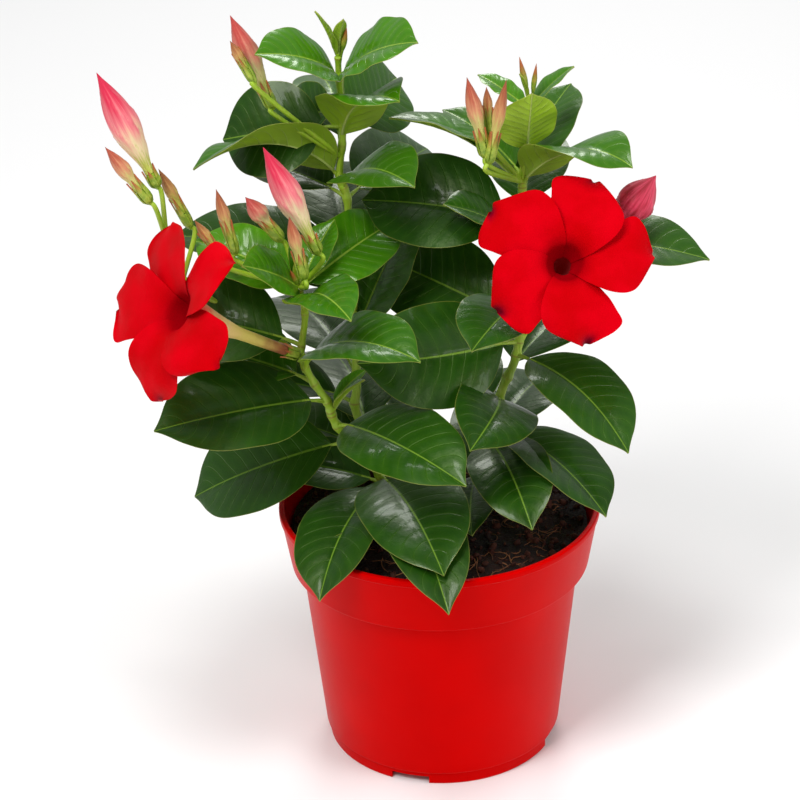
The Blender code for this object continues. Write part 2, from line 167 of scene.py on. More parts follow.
# %% A material that is filled in step by step
def rgb(red, green, blue):
    """A colour read as 0 to 255 on a screen, as the light values that a shader needs."""
    return tuple(
        c / 12.92 if c <= 0.04045 else ((c + 0.055) / 1.055) ** 2.4
        for c in (red / 255, green / 255, blue / 255)
    )


class Finish:
    """A material on the Principled shader, and the ways to add to it."""

    def __init__(self, name, **constants):
        self.material = bpy.data.materials.new(name)
        self.material.use_nodes = True
        self.tree = self.material.node_tree
        self.surface = self.tree.nodes["Principled BSDF"]
        self.set(**constants)

    def set(self, **values):
        """Sets or links sockets of the surface: base_color is Base Color, and so on."""
        names = {socket.name.lower().replace(" ", "_"): socket for socket in self.surface.inputs}
        for name, value in values.items():
            feed(names[name], value)

    def node(self, kind, settings=None, inputs=None, output=None):
        """Any node: its settings come first, then its sockets, then the output that is wanted."""
        made = self.tree.nodes.new("ShaderNode" + kind)
        for name, value in (settings or {}).items():
            setattr(made, name, value)
        for name, value in (inputs or {}).items():
            feed(next(s for s in made.inputs if s.enabled and s.name == name), value)
        return Value(next(s for s in made.outputs if s.enabled and output in (None, s.name)))

    def reading(self, name):
        """A number that the mesh carries at its points, such as the place along a leaf."""
        return self.node("Attribute", {"attribute_name": name}, output="Fac")

    def place(self, scale=None):
        """Where the surface lies in the piece's own space, squeezed or stretched by a scale."""
        place = self.node("TexCoord", output="Object")
        return self.node("Mapping", None, {"Vector": place, "Scale": scale}) if scale else place

    def grain(self, scale, detail=3.0, where=None):
        """Soft noise with this many blotches a metre, or in a space of its own."""
        inputs = {"Vector": where or self.place(), "Scale": scale, "Detail": detail}
        return self.node("TexNoise", None, inputs, "Fac")

    def step(self, value, low, high, first=0.0, last=1.0):
        """Goes smoothly from first to last while the value goes from low to high."""
        return self.node(
            "MapRange",
            {"interpolation_type": "SMOOTHSTEP"},
            {"Value": value, "From Min": low, "From Max": high, "To Min": first, "To Max": last},
        )

    def mix(self, share, first, second):
        """One colour over another; share is how much of the second shows."""
        inputs = {"Factor": share, "A": first, "B": second}
        return self.node("Mix", {"data_type": "RGBA"}, inputs)

    def bump(self, height, depth):
        """Relief from a height value; depth is in metres."""
        return self.node("Bump", None, {"Height": height, "Distance": depth, "Strength": 1.0})


print("material helpers are ready")

# %% [markdown]
# ## The floor and the light
#
# The plant stands on a plain pale floor, in the even light of a studio. The strongest soft light,
# above and in front on the left, does most of the work. A smaller one overhead and one at the
# right fill its shade. The one behind makes the long greyish gleam that lies on level leaves,
# since a glossy leaf mirrors what is behind it when it is seen from the front. The standard view
# keeps the petals as red as they are; a filmic one would bleach them.

# %% Floor, world and soft lights
FLOOR_SIZE = 12.0
FLOOR_COLOUR = (0.90, 0.90, 0.90)
SKY_STRENGTH = 0.40
LIGHT_TARGET = (0.0, 0.0, 0.17)

# Name, place in metres, width in metres, power in watts
LIGHTS = [
    ("light_above_left", (-0.7, -0.9, 1.5), 0.6, 16.5),
    ("light_overhead", (-0.1, -0.35, 1.7), 0.4, 8.0),
    ("light_right", (1.2, -0.7, 0.8), 0.7, 7.0),
    ("light_behind", (0.1, 1.3, 1.15), 0.5, 7.0),
]


def floor():
    shape = bmesh.new()
    bmesh.ops.create_grid(shape, x_segments=1, y_segments=1, size=FLOOR_SIZE / 2)
    mesh = bpy.data.meshes.new("studio_floor")
    shape.to_mesh(mesh)
    shape.free()
    made = add_object("studio_floor", mesh)
    paper = Finish("studio_paper", roughness=0.9, specular_ior_level=0.1)
    fibres = paper.grain(180.0)
    paper.set(base_color=paper.mix(fibres * 0.04, FLOOR_COLOUR, (0.86, 0.86, 0.85)))
    mesh.materials.append(paper.material)
    return made


def soft_light(name, place, size, power):
    """A square soft light at a place, turned to the middle of the plant."""
    lamp = bpy.data.lights.new(name, "AREA")
    lamp.shape = "SQUARE"
    lamp.size = size
    lamp.energy = power
    made = add_object(name, lamp)
    made.location = place
    towards = Vector(LIGHT_TARGET) - Vector(place)
    made.rotation_euler = towards.to_track_quat("-Z", "Y").to_euler()
    return made


def studio():
    scene = bpy.context.scene
    scene.view_settings.view_transform = "Standard"
    sky = bpy.data.worlds.new("studio_sky")
    sky.use_nodes = True
    background = sky.node_tree.nodes["Background"]
    background.inputs["Color"].default_value = (1.0, 1.0, 1.0, 1.0)
    background.inputs["Strength"].default_value = SKY_STRENGTH
    scene.world = sky
    for light in LIGHTS:
        soft_light(*light)


floor()
studio()

# %% [markdown]
# ## Everything is lofted
#
# A pot, a stem, a leaf blade and a petal have one thing in common: each can be drawn as a row of
# closed outlines that are joined one to the next, which is a loft. A stem's outlines are small
# circles. A leaf's outlines are long and thin, out along its upper face and back along the lower
# one, so the blade is a closed body with a real edge. The class below collects such lofts. It
# also keeps numbers at each point, such as how far along the leaf the point lies, and the
# materials read them to draw veins exactly where the surface has them.

# %% A collector of lofts
class Skin:
    """Faces gathered from lofts, with readings at their points, that become one object."""

    def __init__(self, *readings):
        self.places = []
        self.faces = []
        self.finishes = []
        self.readings = {name: [] for name in readings}

    def loft(self, rings, finish=0, **given):
        """A closed body over rings of equally many points. A finish is one, or one a place round
        the ring. A reading is a number, one a ring or one a point."""
        first = len(self.places)
        around = len(rings[0])
        for i, ring in enumerate(rings):
            self.places.extend(ring)
            for name, kept in self.readings.items():
                value = given.get(name, 0.0)
                value = value[i] if isinstance(value, list) else value
                kept.extend(value if isinstance(value, list) else [value] * around)
        for i in range(len(rings) - 1):
            for j in range(around):
                low = first + i * around
                after = (j + 1) % around
                self.faces.append((low + j, low + after, low + around + after, low + around + j))
                self.finishes.append(finish[j] if isinstance(finish, list) else finish)
        for end in (first, first + (len(rings) - 1) * around):
            self.faces.append(tuple(range(end, end + around)))
            self.finishes.append(finish[0] if isinstance(finish, list) else finish)

    def mesh(self, name, crease=None):
        """A mesh with every face outwards, and smooth up to a crease angle if one is given."""
        mesh = bpy.data.meshes.new(name)
        mesh.from_pydata([place * MM for place in self.places], [], self.faces)
        for reading, values in self.readings.items():
            mesh.attributes.new(reading, "FLOAT", "POINT").data.foreach_set("value", values)
        mesh.polygons.foreach_set("material_index", self.finishes)
        shape = bmesh.new()
        shape.from_mesh(mesh)
        bmesh.ops.recalc_face_normals(shape, faces=shape.faces)
        if crease:
            for face in shape.faces:
                face.smooth = True
            for edge in shape.edges:
                edge.smooth = edge.calc_face_angle(0.0) < math.radians(crease)
        shape.to_mesh(mesh)
        shape.free()
        return mesh

    def piece(self, name, node, finishes, crease):
        """The object, which rides on the plant in place of its node."""
        mesh = self.mesh(name, crease)
        for finish in finishes:
            mesh.materials.append(finish.material)
        made = add_object(name, mesh)
        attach(made, "root")
        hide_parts(node)
        mesh.calc_loop_triangles()
        print(name, "has", len(mesh.loop_triangles), "triangles")
        return made


# %% Even steps, and curves through a few known places
def even_shares(steps):
    """From 0 to 1 in this many even steps."""
    return [i / steps for i in range(steps + 1)]


def angles_round(sides):
    """Angles that go once round a circle of this many sides."""
    return [math.tau * k / sides for k in range(sides)]


def bell(distance, reach):
    """1 at no distance, and close to 0 at twice the reach."""
    return math.exp(-((distance / reach) ** 2))


def follow(table, place):
    """The value at a place, on a smooth curve through the (place, value) pairs of a table."""
    last = len(table) - 1
    i = next((k for k in range(last) if place <= table[k + 1][0]), last - 1)

    def slope(k):
        before = table[max(k - 1, 0)]
        after = table[min(k + 1, last)]
        return (after[1] - before[1]) / (after[0] - before[0])

    low, high = table[i], table[i + 1]
    span = high[0] - low[0]
    t = min(max((place - low[0]) / span, 0.0), 1.0)
    ease = t * t * (3 - 2 * t)
    bend = slope(i) * span * t * (1 - t) ** 2 - slope(i + 1) * span * t * t * (1 - t)
    return low[1] + (high[1] - low[1]) * ease + bend


def smooth_line(points, steps):
    """Places on a smooth curve through all the points, with this many steps a span."""
    axes = [[(i, point[k]) for i, point in enumerate(points)] for k in range(3)]
    return [
        Vector([follow(axis, i / steps) for axis in axes])
        for i in range(steps * (len(points) - 1) + 1)
    ]


def rings_along(line, radii, sides):
    """Circles square to a line, each turned as little as possible from the one before."""
    rings = []
    facing = (line[1] - line[0]).orthogonal().normalized()
    for i, centre in enumerate(line):
        ahead = line[min(i + 1, len(line) - 1)] - line[max(i - 1, 0)]
        ahead.normalize()
        facing = (facing - ahead * facing.dot(ahead)).normalized()
        side = ahead.cross(facing)
        rings.append([
            centre + (facing * math.cos(a) + side * math.sin(a)) * radii[i]
            for a in angles_round(sides)
        ])
    return rings


def turned_rings(profile, sides):
    """Level circles for a profile of (radius, height) pairs, as on a lathe."""
    return [
        [Vector((radius * math.cos(a), radius * math.sin(a), height)) for a in angles_round(sides)]
        for radius, height in profile
    ]


def rounded(profile, radius, steps=3):
    """The profile with each corner eased over a short arc, so that it catches the light."""
    made = [profile[0]]
    for before, corner, after in zip(profile, profile[1:], profile[2:]):
        corner = Vector(corner)
        back = Vector(before) - corner
        on = Vector(after) - corner
        reach = min(radius, back.length * 0.45, on.length * 0.45)
        start = corner + back.normalized() * reach
        end = corner + on.normalized() * reach
        for t in even_shares(steps):
            made.append(tuple(start * (1 - t) ** 2 + corner * 2 * t * (1 - t) + end * t * t))
    made.append(profile[-1])
    return made


print("a curve through 0, 1, 0 peaks at", round(follow([(0, 0), (1, 1), (2, 0)], 1.0), 2))

# %% [markdown]
# ## The pot
#
# A nursery pot is moulded from thin polypropylene: a tapered body, a wider collar that stiffens
# the rim, a small lip on top, and a foot skirt with notches that let water out. It is a turned
# form, so its profile goes round the axis in fine steps, every corner is eased, and the notches
# and drain holes are cut out with a boolean, as a mould's inserts would leave them.

# %% Pot sizes, in millimetres
POT_HEIGHT = 113.8
RIM_RADIUS = 70.0
LIP_HEIGHT = 2.8
LIP_OVERHANG = 0.7
COLLAR_BOTTOM = 87.0
COLLAR_BOTTOM_RADIUS = 65.3
BODY_TOP_RADIUS = 60.8
BODY_BOTTOM_RADIUS = 52.3
SKIRT_HEIGHT = 5.9
SKIRT_RADIUS = 50.8
SKIRT_WALL = 2.0
FLOOR_BOTTOM = 4.0
FLOOR_TOP = 6.5
HUB_RADIUS = 14.0
WALL = 2.1
POT_SIDES = 160
CORNER_EASE = 0.7
NOTCHES = 4
NOTCH_WIDTH = 17.0
NOTCH_HEIGHT = 3.6
NOTCH_DEPTH = 12.0
FIRST_NOTCH_HEADING = 253.0
DRAIN_HOLES = 4
DRAIN_RADIUS = 4.0
DRAIN_RING_RADIUS = 34.0
DRAIN_SIDES = 24


def pot_profile():
    collar = RIM_RADIUS - LIP_OVERHANG
    inner_top = collar - WALL
    corners = [
        (BODY_BOTTOM_RADIUS - WALL - 1, FLOOR_TOP),
        (BODY_TOP_RADIUS - WALL, COLLAR_BOTTOM - 2),
        (COLLAR_BOTTOM_RADIUS - WALL, COLLAR_BOTTOM + 2),
        (inner_top, POT_HEIGHT - 0.8),
        (inner_top + 0.5, POT_HEIGHT),
        (RIM_RADIUS - 0.4, POT_HEIGHT),
        (RIM_RADIUS, POT_HEIGHT - 0.5),
        (RIM_RADIUS, POT_HEIGHT - LIP_HEIGHT),
        (collar, POT_HEIGHT - LIP_HEIGHT - 0.4),
        (COLLAR_BOTTOM_RADIUS, COLLAR_BOTTOM + 0.6),
        (COLLAR_BOTTOM_RADIUS - 0.6, COLLAR_BOTTOM),
        (BODY_TOP_RADIUS, COLLAR_BOTTOM),
        (BODY_BOTTOM_RADIUS, SKIRT_HEIGHT + 0.6),
        (BODY_BOTTOM_RADIUS - 0.5, SKIRT_HEIGHT),
        (SKIRT_RADIUS, SKIRT_HEIGHT),
        (SKIRT_RADIUS, 0),
        (SKIRT_RADIUS - SKIRT_WALL, 0),
        (SKIRT_RADIUS - SKIRT_WALL, FLOOR_BOTTOM),
        (HUB_RADIUS + 1, FLOOR_BOTTOM),
        (HUB_RADIUS, 0),
    ]
    return [(0.5, FLOOR_TOP), *rounded(corners, CORNER_EASE), (0.5, 0.0)]


# %% Cutters for the notches and the drain holes
def cutter(name, ring, low, high):
    """An upright prism over a ring of (x, y) places."""
    skin = Skin()
    skin.loft([[Vector((x, y, z)) for x, y in ring] for z in (low, high)])
    return add_object(name, skin.mesh(name))


def outwards(angle):
    """The level direction at an angle from +X."""
    return Vector((math.cos(angle), math.sin(angle)))


def pot_cutters():
    made = []
    for i in range(NOTCHES):
        out = outwards(math.radians(FIRST_NOTCH_HEADING + 360 / NOTCHES * i))
        side = Vector((-out.y, out.x))
        ring = [
            out * (SKIRT_RADIUS + u * NOTCH_DEPTH / 2) + side * v * NOTCH_WIDTH / 2
            for u, v in ((-1, -1), (1, -1), (1, 1), (-1, 1))
        ]
        made.append(cutter(f"notch_{i}", ring, -2.0, NOTCH_HEIGHT))
    for i, heading in enumerate(angles_round(DRAIN_HOLES)):
        middle = outwards(heading) * DRAIN_RING_RADIUS
        ring = [middle + outwards(a) * DRAIN_RADIUS for a in angles_round(DRAIN_SIDES)]
        made.append(cutter(f"drain_{i}", ring, FLOOR_BOTTOM - 2, FLOOR_TOP + 2))
    return made


# %% [markdown]
# The plastic is dyed right through, so its colour barely changes. What makes it look real is the
# surface: faint flow marks from the mould, and fine scuffs round the body that are a little
# paler and duller. The faint gloss is tinted red, so that the lights leave the colour deep.

# %% Red moulded plastic
def red_plastic():
    finish = Finish(
        "red_moulded_plastic", ior=1.49, specular_ior_level=0.05, specular_tint=(1.0, 0.12, 0.10)
    )
    flow = finish.grain(60.0, 3.0, finish.place((1.0, 1.0, 0.14)))
    scuffs = finish.grain(900.0, 4.0, finish.place((1.0, 1.0, 3.0)))
    blotches = finish.grain(26.0, 2.0)
    base = finish.mix(finish.step(blotches, 0.3, 0.7), rgb(198, 0, 0), rgb(206, 0, 0))
    base = finish.mix(finish.step(scuffs, 0.62, 0.74, 0.0, 0.15), base, rgb(222, 20, 18))
    finish.set(
        base_color=base,
        roughness=0.30 + flow * 0.10 + finish.step(scuffs, 0.55, 0.75, 0.0, 0.15),
        normal=finish.bump(flow * 0.5 + scuffs * 0.12, 0.0004),
    )
    return finish


def turn_the_pot():
    skin = Skin()
    skin.loft(turned_rings(pot_profile(), POT_SIDES))
    pot = skin.piece("pot_shell", "pot", [red_plastic()], crease=38)
    cutters = pot_cutters()
    for other in cutters:
        cut = pot.modifiers.new("cut", "BOOLEAN")
        cut.object = other
        cut.operation = "DIFFERENCE"
        cut.solver = "EXACT"
    bpy.context.view_layer.update()
    evaluated = pot.evaluated_get(bpy.context.evaluated_depsgraph_get())
    solid = bpy.data.meshes.new_from_object(evaluated)
    pot.modifiers.clear()
    pot.data = solid
    for other in cutters:
        bpy.data.objects.remove(other)
    return pot


print("pot faces:", len(turn_the_pot().data.polygons))

# %% [markdown]
# ## The peat
#
# Potting peat is dark, damp and crumbly, with reddish-brown fibres that lie over one another. A
# bump map alone would give it a smooth outline against the rim. So the surface is really lumpy,
# loose crumbs are pressed into it, and thin bent fibres are strewn on top. Every random draw
# comes from one seeded source, so that the peat is the same each time.

# %% Peat sizes, in millimetres
SOIL_TOP = 105.5
SOIL_RIM_TOP = 104.0
SOIL_GAP = 0.3
SOIL_SIDES = 120
SOIL_RINGS = 34
CRUMBS = 950
CRUMB_DISC = 62.5
CRUMB_LIMIT = 65.0
CRUMB_SIDES = 6
CRUMB_PROFILE = [(0.3, -0.95), (0.8, -0.6), (1.0, 0.0), (0.8, 0.6), (0.3, 0.95)]
CRUMB_STRETCH = [(0.7, 1.3), (0.7, 1.2), (0.5, 0.9)]
CRUMB_DENTS = 0.35
FIBRES = 260
FIBRE_DISC = 54
FIBRE_TAPER = (0.6, 1, 1, 1, 1, 0.4)
SOIL_PROFILE = [(0, SOIL_TOP), (20, SOIL_TOP + 0.8), (40, SOIL_TOP - 0.4), (64, SOIL_RIM_TOP)]

# Noise in the surface: waves a millimetre, a place of its own, height
SOIL_RELIEF = [(0.07, 1.0, 1.6), (0.23, 5.0, 1.2), (0.9, 9.0, 0.5)]


def soil_height(x, y):
    """The lumpy top of the peat, lower at the rim than in the middle."""
    out = math.hypot(x, y)
    relief = sum(noise.noise((x * fine, y * fine, own)) * high for fine, own, high in SOIL_RELIEF)
    return follow(SOIL_PROFILE, out) + relief * min(1.0, (66 - out) / 6)


def soil_body(skin):
    side = WALL + SOIL_GAP
    outer = COLLAR_BOTTOM_RADIUS - side + 1.6
    below = [
        (0.5, FLOOR_TOP + SOIL_GAP),
        (BODY_BOTTOM_RADIUS - side - 1.2, FLOOR_TOP + SOIL_GAP),
        (BODY_TOP_RADIUS - side - 0.4, COLLAR_BOTTOM - 2),
        (COLLAR_BOTTOM_RADIUS - side, COLLAR_BOTTOM + 3),
    ]
    rings = turned_rings(below, SOIL_SIDES)
    for i in range(SOIL_RINGS):
        radius = outer * (1 - i / SOIL_RINGS) ** 0.8
        ring = [(radius * math.cos(a), radius * math.sin(a)) for a in angles_round(SOIL_SIDES)]
        rings.append([Vector((x, y, soil_height(x, y))) for x, y in ring])
    skin.loft(rings, 0)


def crumb(skin, draw, place, size):
    """A lump of five rings of six points, flattened and dented."""
    spin = draw.uniform(0, math.tau)
    turn = Matrix.Rotation(spin, 3, Vector((draw.gauss(0, 1), draw.gauss(0, 1), 1)))
    stretch = Vector([size * draw.uniform(*span) for span in CRUMB_STRETCH])
    seed = Vector((draw.uniform(0, 50), 0, 0))
    rings = [
        [
            place + turn @ (point * (1 + CRUMB_DENTS * noise.noise(point * 1.3 + seed)) * stretch)
            for point in ring
        ]
        for ring in turned_rings(CRUMB_PROFILE, CRUMB_SIDES)
    ]
    skin.loft(rings, 1, tone=draw.random())


def fibre(skin, draw, place, length):
    """A thin bent root or straw that lies on the peat."""
    heading = draw.uniform(0, math.tau)
    bend = draw.uniform(-1.6, 1.6)
    line = []
    for step in even_shares(len(FIBRE_TAPER) - 1):
        share = step - 0.5
        a = heading + bend * share
        x = place.x + math.cos(a) * length * share
        y = place.y + math.sin(a) * length * share
        arch = draw.uniform(0, 1.0) * (0.25 - share * share)
        line.append(Vector((x, y, soil_height(x, y) + 0.4 + arch)))
    thick = draw.uniform(0.10, 0.24)
    skin.loft(rings_along(line, [thick * r for r in FIBRE_TAPER], 5), 2, tone=draw.random())


# %% [markdown]
# Wet peat is nearly black where it is packed and reddish brown where it is loose. Its materials
# are rough, with a damp glint here and there. The colour follows noise at two sizes, and a tone
# that each crumb and fibre has for itself.

# %% Peat finishes and the peat itself
def peat_finish(name, dark, light, roughness):
    finish = Finish(name, roughness=roughness, specular_ior_level=0.3)
    coarse = finish.grain(90.0, 4.0)
    fine = finish.grain(900.0, 5.0)
    share = finish.step(coarse * 0.6 + fine * 0.5 + finish.reading("tone") * 0.25, 0.42, 0.85)
    finish.set(
        base_color=finish.mix(share, dark, light),
        roughness=finish.step(fine, 0.35, 0.65, roughness - 0.25, roughness),
        normal=finish.bump(fine + coarse * 0.5, 0.0012),
    )
    return finish


def fill_the_pot():
    draw = random.Random(11)
    skin = Skin("tone")
    soil_body(skin)
    for _ in range(CRUMBS):
        out = CRUMB_DISC * math.sqrt(draw.random())
        a = draw.uniform(0, math.tau)
        x, y = out * math.cos(a), out * math.sin(a)
        size = 0.5 + 1.7 * draw.random() ** 2.6
        place = Vector((x, y, soil_height(x, y) + size * 0.25))
        crumb(skin, draw, place, min(size, CRUMB_LIMIT - out))
    for _ in range(FIBRES):
        out = FIBRE_DISC * math.sqrt(draw.random())
        a = draw.uniform(0, math.tau)
        place = Vector((out * math.cos(a), out * math.sin(a), 0))
        fibre(skin, draw, place, draw.uniform(3, 13))
    finishes = [
        peat_finish("packed_peat", rgb(15, 6, 4), rgb(52, 24, 15), 0.9),
        peat_finish("peat_crumbs", rgb(20, 8, 5), rgb(80, 38, 24), 0.85),
        peat_finish("peat_fibres", rgb(62, 34, 22), rgb(150, 98, 62), 0.75),
    ]
    return skin.piece("peat", "soil", finishes, crease=60)


fill_the_pot()

# %% [markdown]
# ## The plan of the plant
#
# A climber's stem bends a little at every node, and its leaves stand there in opposite pairs.
# The plan lists each stem as a few places, and each leaf by where it leaves the stem and which
# way it goes. Youth is 0 for an old, dark, leathery leaf and 1 for a soft, bright one at the head
# of the shoot. Some blades turn over on the way to their tip, and those have two more numbers.
# The frame follows the same plan, without the youth and without the tiniest young leaves.

# %% Stems and leaves, in millimetres and degrees
STEMS = {
    "left": [
        (-17, 8, 88), (-17, 8, 107), (-25, 2, 125), (-30, -2, 136), (-38, -5, 147), (-44, -7, 157),
        (-47, -9, 168), (-53, -10, 179), (-57, -10, 191), (-55, -8, 208), (-57, -8, 221),
    ],
    "middle": [
        (-12, 26, 88), (-12, 26, 107), (-30, 20, 135), (-36, 20, 150), (-35, 22, 162), (-36, 28, 198),
        (-37, 34, 241), (-40, 34, 253), (-38, 34, 275), (-39, 34, 297), (-39, 33, 308),
    ],
    "right": [
        (14, 14, 88), (14, 14, 107), (23, 10, 143), (28, 8, 164), (34, 8, 180), (37, 12, 204),
        (38, 16, 230), (37, 18, 256), (39, 20, 274), (40, 20, 293),
    ],
}

# Height on the stem, heading (0 is +X, 90 is +Y), pitch, length, width, roll, bend, petiole, youth,
# and for a blade that turns over: its twist from foot to tip and its lean at the foot
LEAVES = {
    "left": [
        (121, 250, -14, 72, 38, 10, 45, 9, 0.1),
        (126, 289, -5, 76, 45, 10, 32, 9, 0.1),
        (116, 284, -8, 86, 36, 0, 54, 14, 0.1),
        (112, 232, 2, 56, 30, 10, 12, 9, 0.0),
        (119, 172, 7, 44, 32, -15, 25, 9, 0.0),
        (146, 168, -27, 70, 45, -39, 40, 9, 0.1),
        (155, 314, -2, 71, 42, 14, 40, 9, 0.25),
        (168, 204, 1, 70, 46, -25, 30, 9, 0.05),
        (177, 152, 2, 62, 38, -20, 30, 9, 0.45),
        (185, 322, 15, 62, 37, 11, 75, 6, 0.6),
        (195, 164, 5, 60, 44, -30, 30, 9, 0.1),
        (209, 296, 15, 48, 28, 11, 80, 6, 1.0),
        (220, 156, 15, 46, 29, -25, 32, 5, 0.95),
        (220, 235, 33, 42, 24, -44, 22, 5, 1.0),
        (220, 44, 13, 54, 31, 30, 22, 5, 0.85),
        (220, 52, 42, 30, 16, 6, 25, 4, 1.0),
        (220, 300, 70, 17, 7, 0, 20, 3, 1.0),
        (220, 120, 74, 20, 7, 0, 15, 3, 1.0),
        (161, 335, 48, 22, 9, 0, 30, 4, 0.9),
        (163, 30, 35, 20, 9, 0, 40, 4, 0.9),
    ],
    "middle": [
        (114, 150, 4, 70, 42, 0, 35, 9, 0.1),
        (114, 103, 6, 70, 40, 0, 35, 9, 0.1),
        (135, 105, 0, 74, 44, 0, 40, 9, 0.0),
        (152, 172, 0, 70, 44, 0, 38, 9, 0.0),
        (165, 118, 0, 72, 43, 0, 40, 9, 0.0),
        (178, 42, 54, 56, 38, 0, 20, 9, 0.35),
        (196, 140, 5, 70, 42, 0, 38, 9, 0.1),
        (213, 169, 4, 71, 44, -10, 25, 9, 0.1),
        (216, 95, 8, 68, 42, 0, 35, 9, 0.0),
        (243, 65, -7, 70, 41, 27, 25, 9, 0.1),
        (243, 139, 1, 51, 30, -12, 23, 9, 0.15),
        (248, 304, 16, 55, 34, 17, 60, 6, 0.35),
        (252, 200, 9, 62, 34, 0, 86, 6, 0.6, -60, 66),
        (276, 166, -12, 46, 42, -52, 30, 8, 0.1),
        (266, 100, 6, 56, 34, 0, 35, 8, 0.3),
        (268, 310, 34, 46, 34, 0, 80, 5, 0.75, 88, -56),
        (278, 66, 0, 48, 38, 50, 20, 5, 0.35),
        (283, 138, -20, 34, 28, -50, 20, 5, 0.25),
        (297, 221, 25, 46, 29, -29, 50, 5, 0.9),
        (297, 322, 29, 46, 33, 28, 38, 5, 0.95),
        (307, 200, 66, 22, 9, 0, 20, 2, 1.0),
        (307, 300, 72, 18, 7, 0, 15, 2, 1.0),
    ],
    "right": [
        (112, 8, 5, 46, 30, 0, 35, 9, 0.0),
        (114, 76, 5, 66, 38, 0, 35, 9, 0.0),
        (122, 267, -4, 47, 28, 20, 20, 9, 0.1),
        (138, 285, -10, 61, 34, 12, 45, 9, 0.15),
        (134, 64, 0, 60, 38, 0, 40, 9, 0.0),
        (145, 311, -16, 64, 40, -10, 35, 9, 0.15),
        (158, 256, 4, 56, 36, -24, 50, 9, 0.1),
        (150, 118, 0, 66, 42, 0, 40, 9, 0.1),
        (170, 62, -2, 68, 42, 0, 40, 9, 0.0),
        (186, 201, 3, 66, 45, -60, 22, 9, 0.15),
        (180, 311, -20, 64, 35, 5, 45, 9, 0.2),
        (194, 140, 6, 70, 43, -45, 27, 9, 0.2),
        (197, 62, 4, 66, 40, 0, 36, 9, 0.1),
        (200, 248, 4, 54, 34, -7, 45, 9, 0.1),
        (226, 350, -3, 67, 38, 10, 30, 12, 0.25),
        (224, 40, 0, 50, 32, 0, 36, 12, 0.2),
        (230, 195, 28, 34, 27, -10, 20, 8, 0.35),
        (238, 166, 2, 62, 46, -35, 25, 9, 0.05),
        (240, 86, 8, 58, 36, 0, 34, 8, 0.2),
        (254, 176, 26, 58, 32, 12, 45, 6, 0.7),
        (254, 324, 17, 54, 32, 0, 80, 6, 0.6, 85, -52),
        (256, 285, 74, 29, 26, 0, -20, 18, 1.0),
        (252, 62, 30, 50, 34, -10, 25, 8, 0.3),
        (258, 140, 22, 42, 26, 0, 35, 6, 0.6),
        (287, 144, 21, 25, 14, 3, 25, 3, 1.0),
        (287, 27, 34, 24, 14, -12, 23, 3, 1.0),
        (291, 200, 72, 12, 4, 0, 15, 2, 1.0),
    ],
}
print("leaves:", {stem: len(rows) for stem, rows in LEAVES.items()})

# %% Flower stalks, buds and blooms
STALKS = [
    ("left", 1.3, [(-57, -10, 191), (-83, 2, 203), (-106, 2, 222), (-112, 1, 240)]),
]

# Stem, start of the stalk, foot of the corolla, tip, largest radius, ripeness
BUDS = {
    "bud_left_1": ("left", (-112, 1, 240), (-117, 0, 271), (-136, 0, 315), 6.4, 1.0),
    "bud_left_2": ("left", (-112, 1, 240), (-121, -6, 266), (-134, -6, 285), 3.2, 0.4),
    "bud_left_3": ("left", (-106, 2, 222), (-105, 6, 250), (-114, 6, 270), 2.6, 0.1),
    "bud_left_4": ("left", (-57, -8, 221), (-51, -14, 246), (-69, -14, 287), 6.0, 1.0),
    "bud_left_5": ("left", (-57, -8, 221), (-68, -2, 246), (-78, -2, 260), 4.0, 0.6),
    "bud_left_6": ("left", (-57, -8, 221), (-55, -27, 241), (-59, -27, 262), 2.8, 0.3),
    "bud_left_7": ("left", (-57, -8, 221), (-84, -14, 247), (-89, -14, 269), 2.6, 0.25),
    "bud_left_8": ("left", (-57, -8, 221), (-90, -20, 245), (-98, -20, 258), 2.2, 0.1),
    "bud_middle_1": ("middle", (-39, 34, 262), (-69, 18, 298), (-82, 18, 332), 5.0, 0.6),
    "bud_middle_2": ("middle", (-39, 34, 262), (-76, 10, 312), (-82, 10, 324), 2.2, 0.15),
    "bud_right_1": ("right", (37, 18, 256), (20, -2, 283), (14, -2, 311), 3.4, 0.4),
    "bud_right_2": ("right", (37, 18, 256), (23, 5, 289), (22, 5, 304), 2.0, 0.2),
    "bud_right_3": ("right", (37, 18, 256), (24, -4, 281), (30, -5, 311), 2.6, 0.25),
    "closed_bloom": ("right", (38, 15, 226), (76, 6, 240), (92, 6, 263), 8.0, 2.0),
}

# Stem, start of the stalk, foot of the tube, throat
BLOOMS = {
    "bloom_left": ("left", (-56, -10, 183), (-63, -20, 198), (-105, -45, 229)),
    "bloom_right": ("right", (34, 8, 182), (50, 8, 216), (53, -28, 240)),
}

# Each lobe's heading seen from the front, then its reach and width as shares, lift and curl
LOBES = {
    "bloom_left": [
        (52, 0.94, 0.86, 1.0, 0.5), (130, 1.10, 0.88, 5.0, 0.4), (193, 1.14, 1.0, 4.0, 0.6),
        (277, 1.02, 1.0, -2.0, 0.8), (341, 1.04, 0.95, -1.0, 0.4),
    ],
    "bloom_right": [
        (60, 0.99, 1.0, 0.5, 0.7), (-3, 1.0, 0.95, 0.0, 0.5), (275, 0.94, 0.98, 0.0, 1.2),
        (204, 0.93, 0.98, 0.0, 1.2), (133, 1.03, 1.0, 1.0, 1.0),
    ],
}
print("buds:", len(BUDS), "blooms:", len(BLOOMS))

# %% [markdown]
# ## Stems and petioles
#
# A green stem is round and a little swollen at each node, where old leaf scars leave a reddish
# brown ring. The stem is a loft of circles on a smooth curve through the plan's places. Each
# petiole starts inside the stem, so the two look grown together, and runs on under the blade.

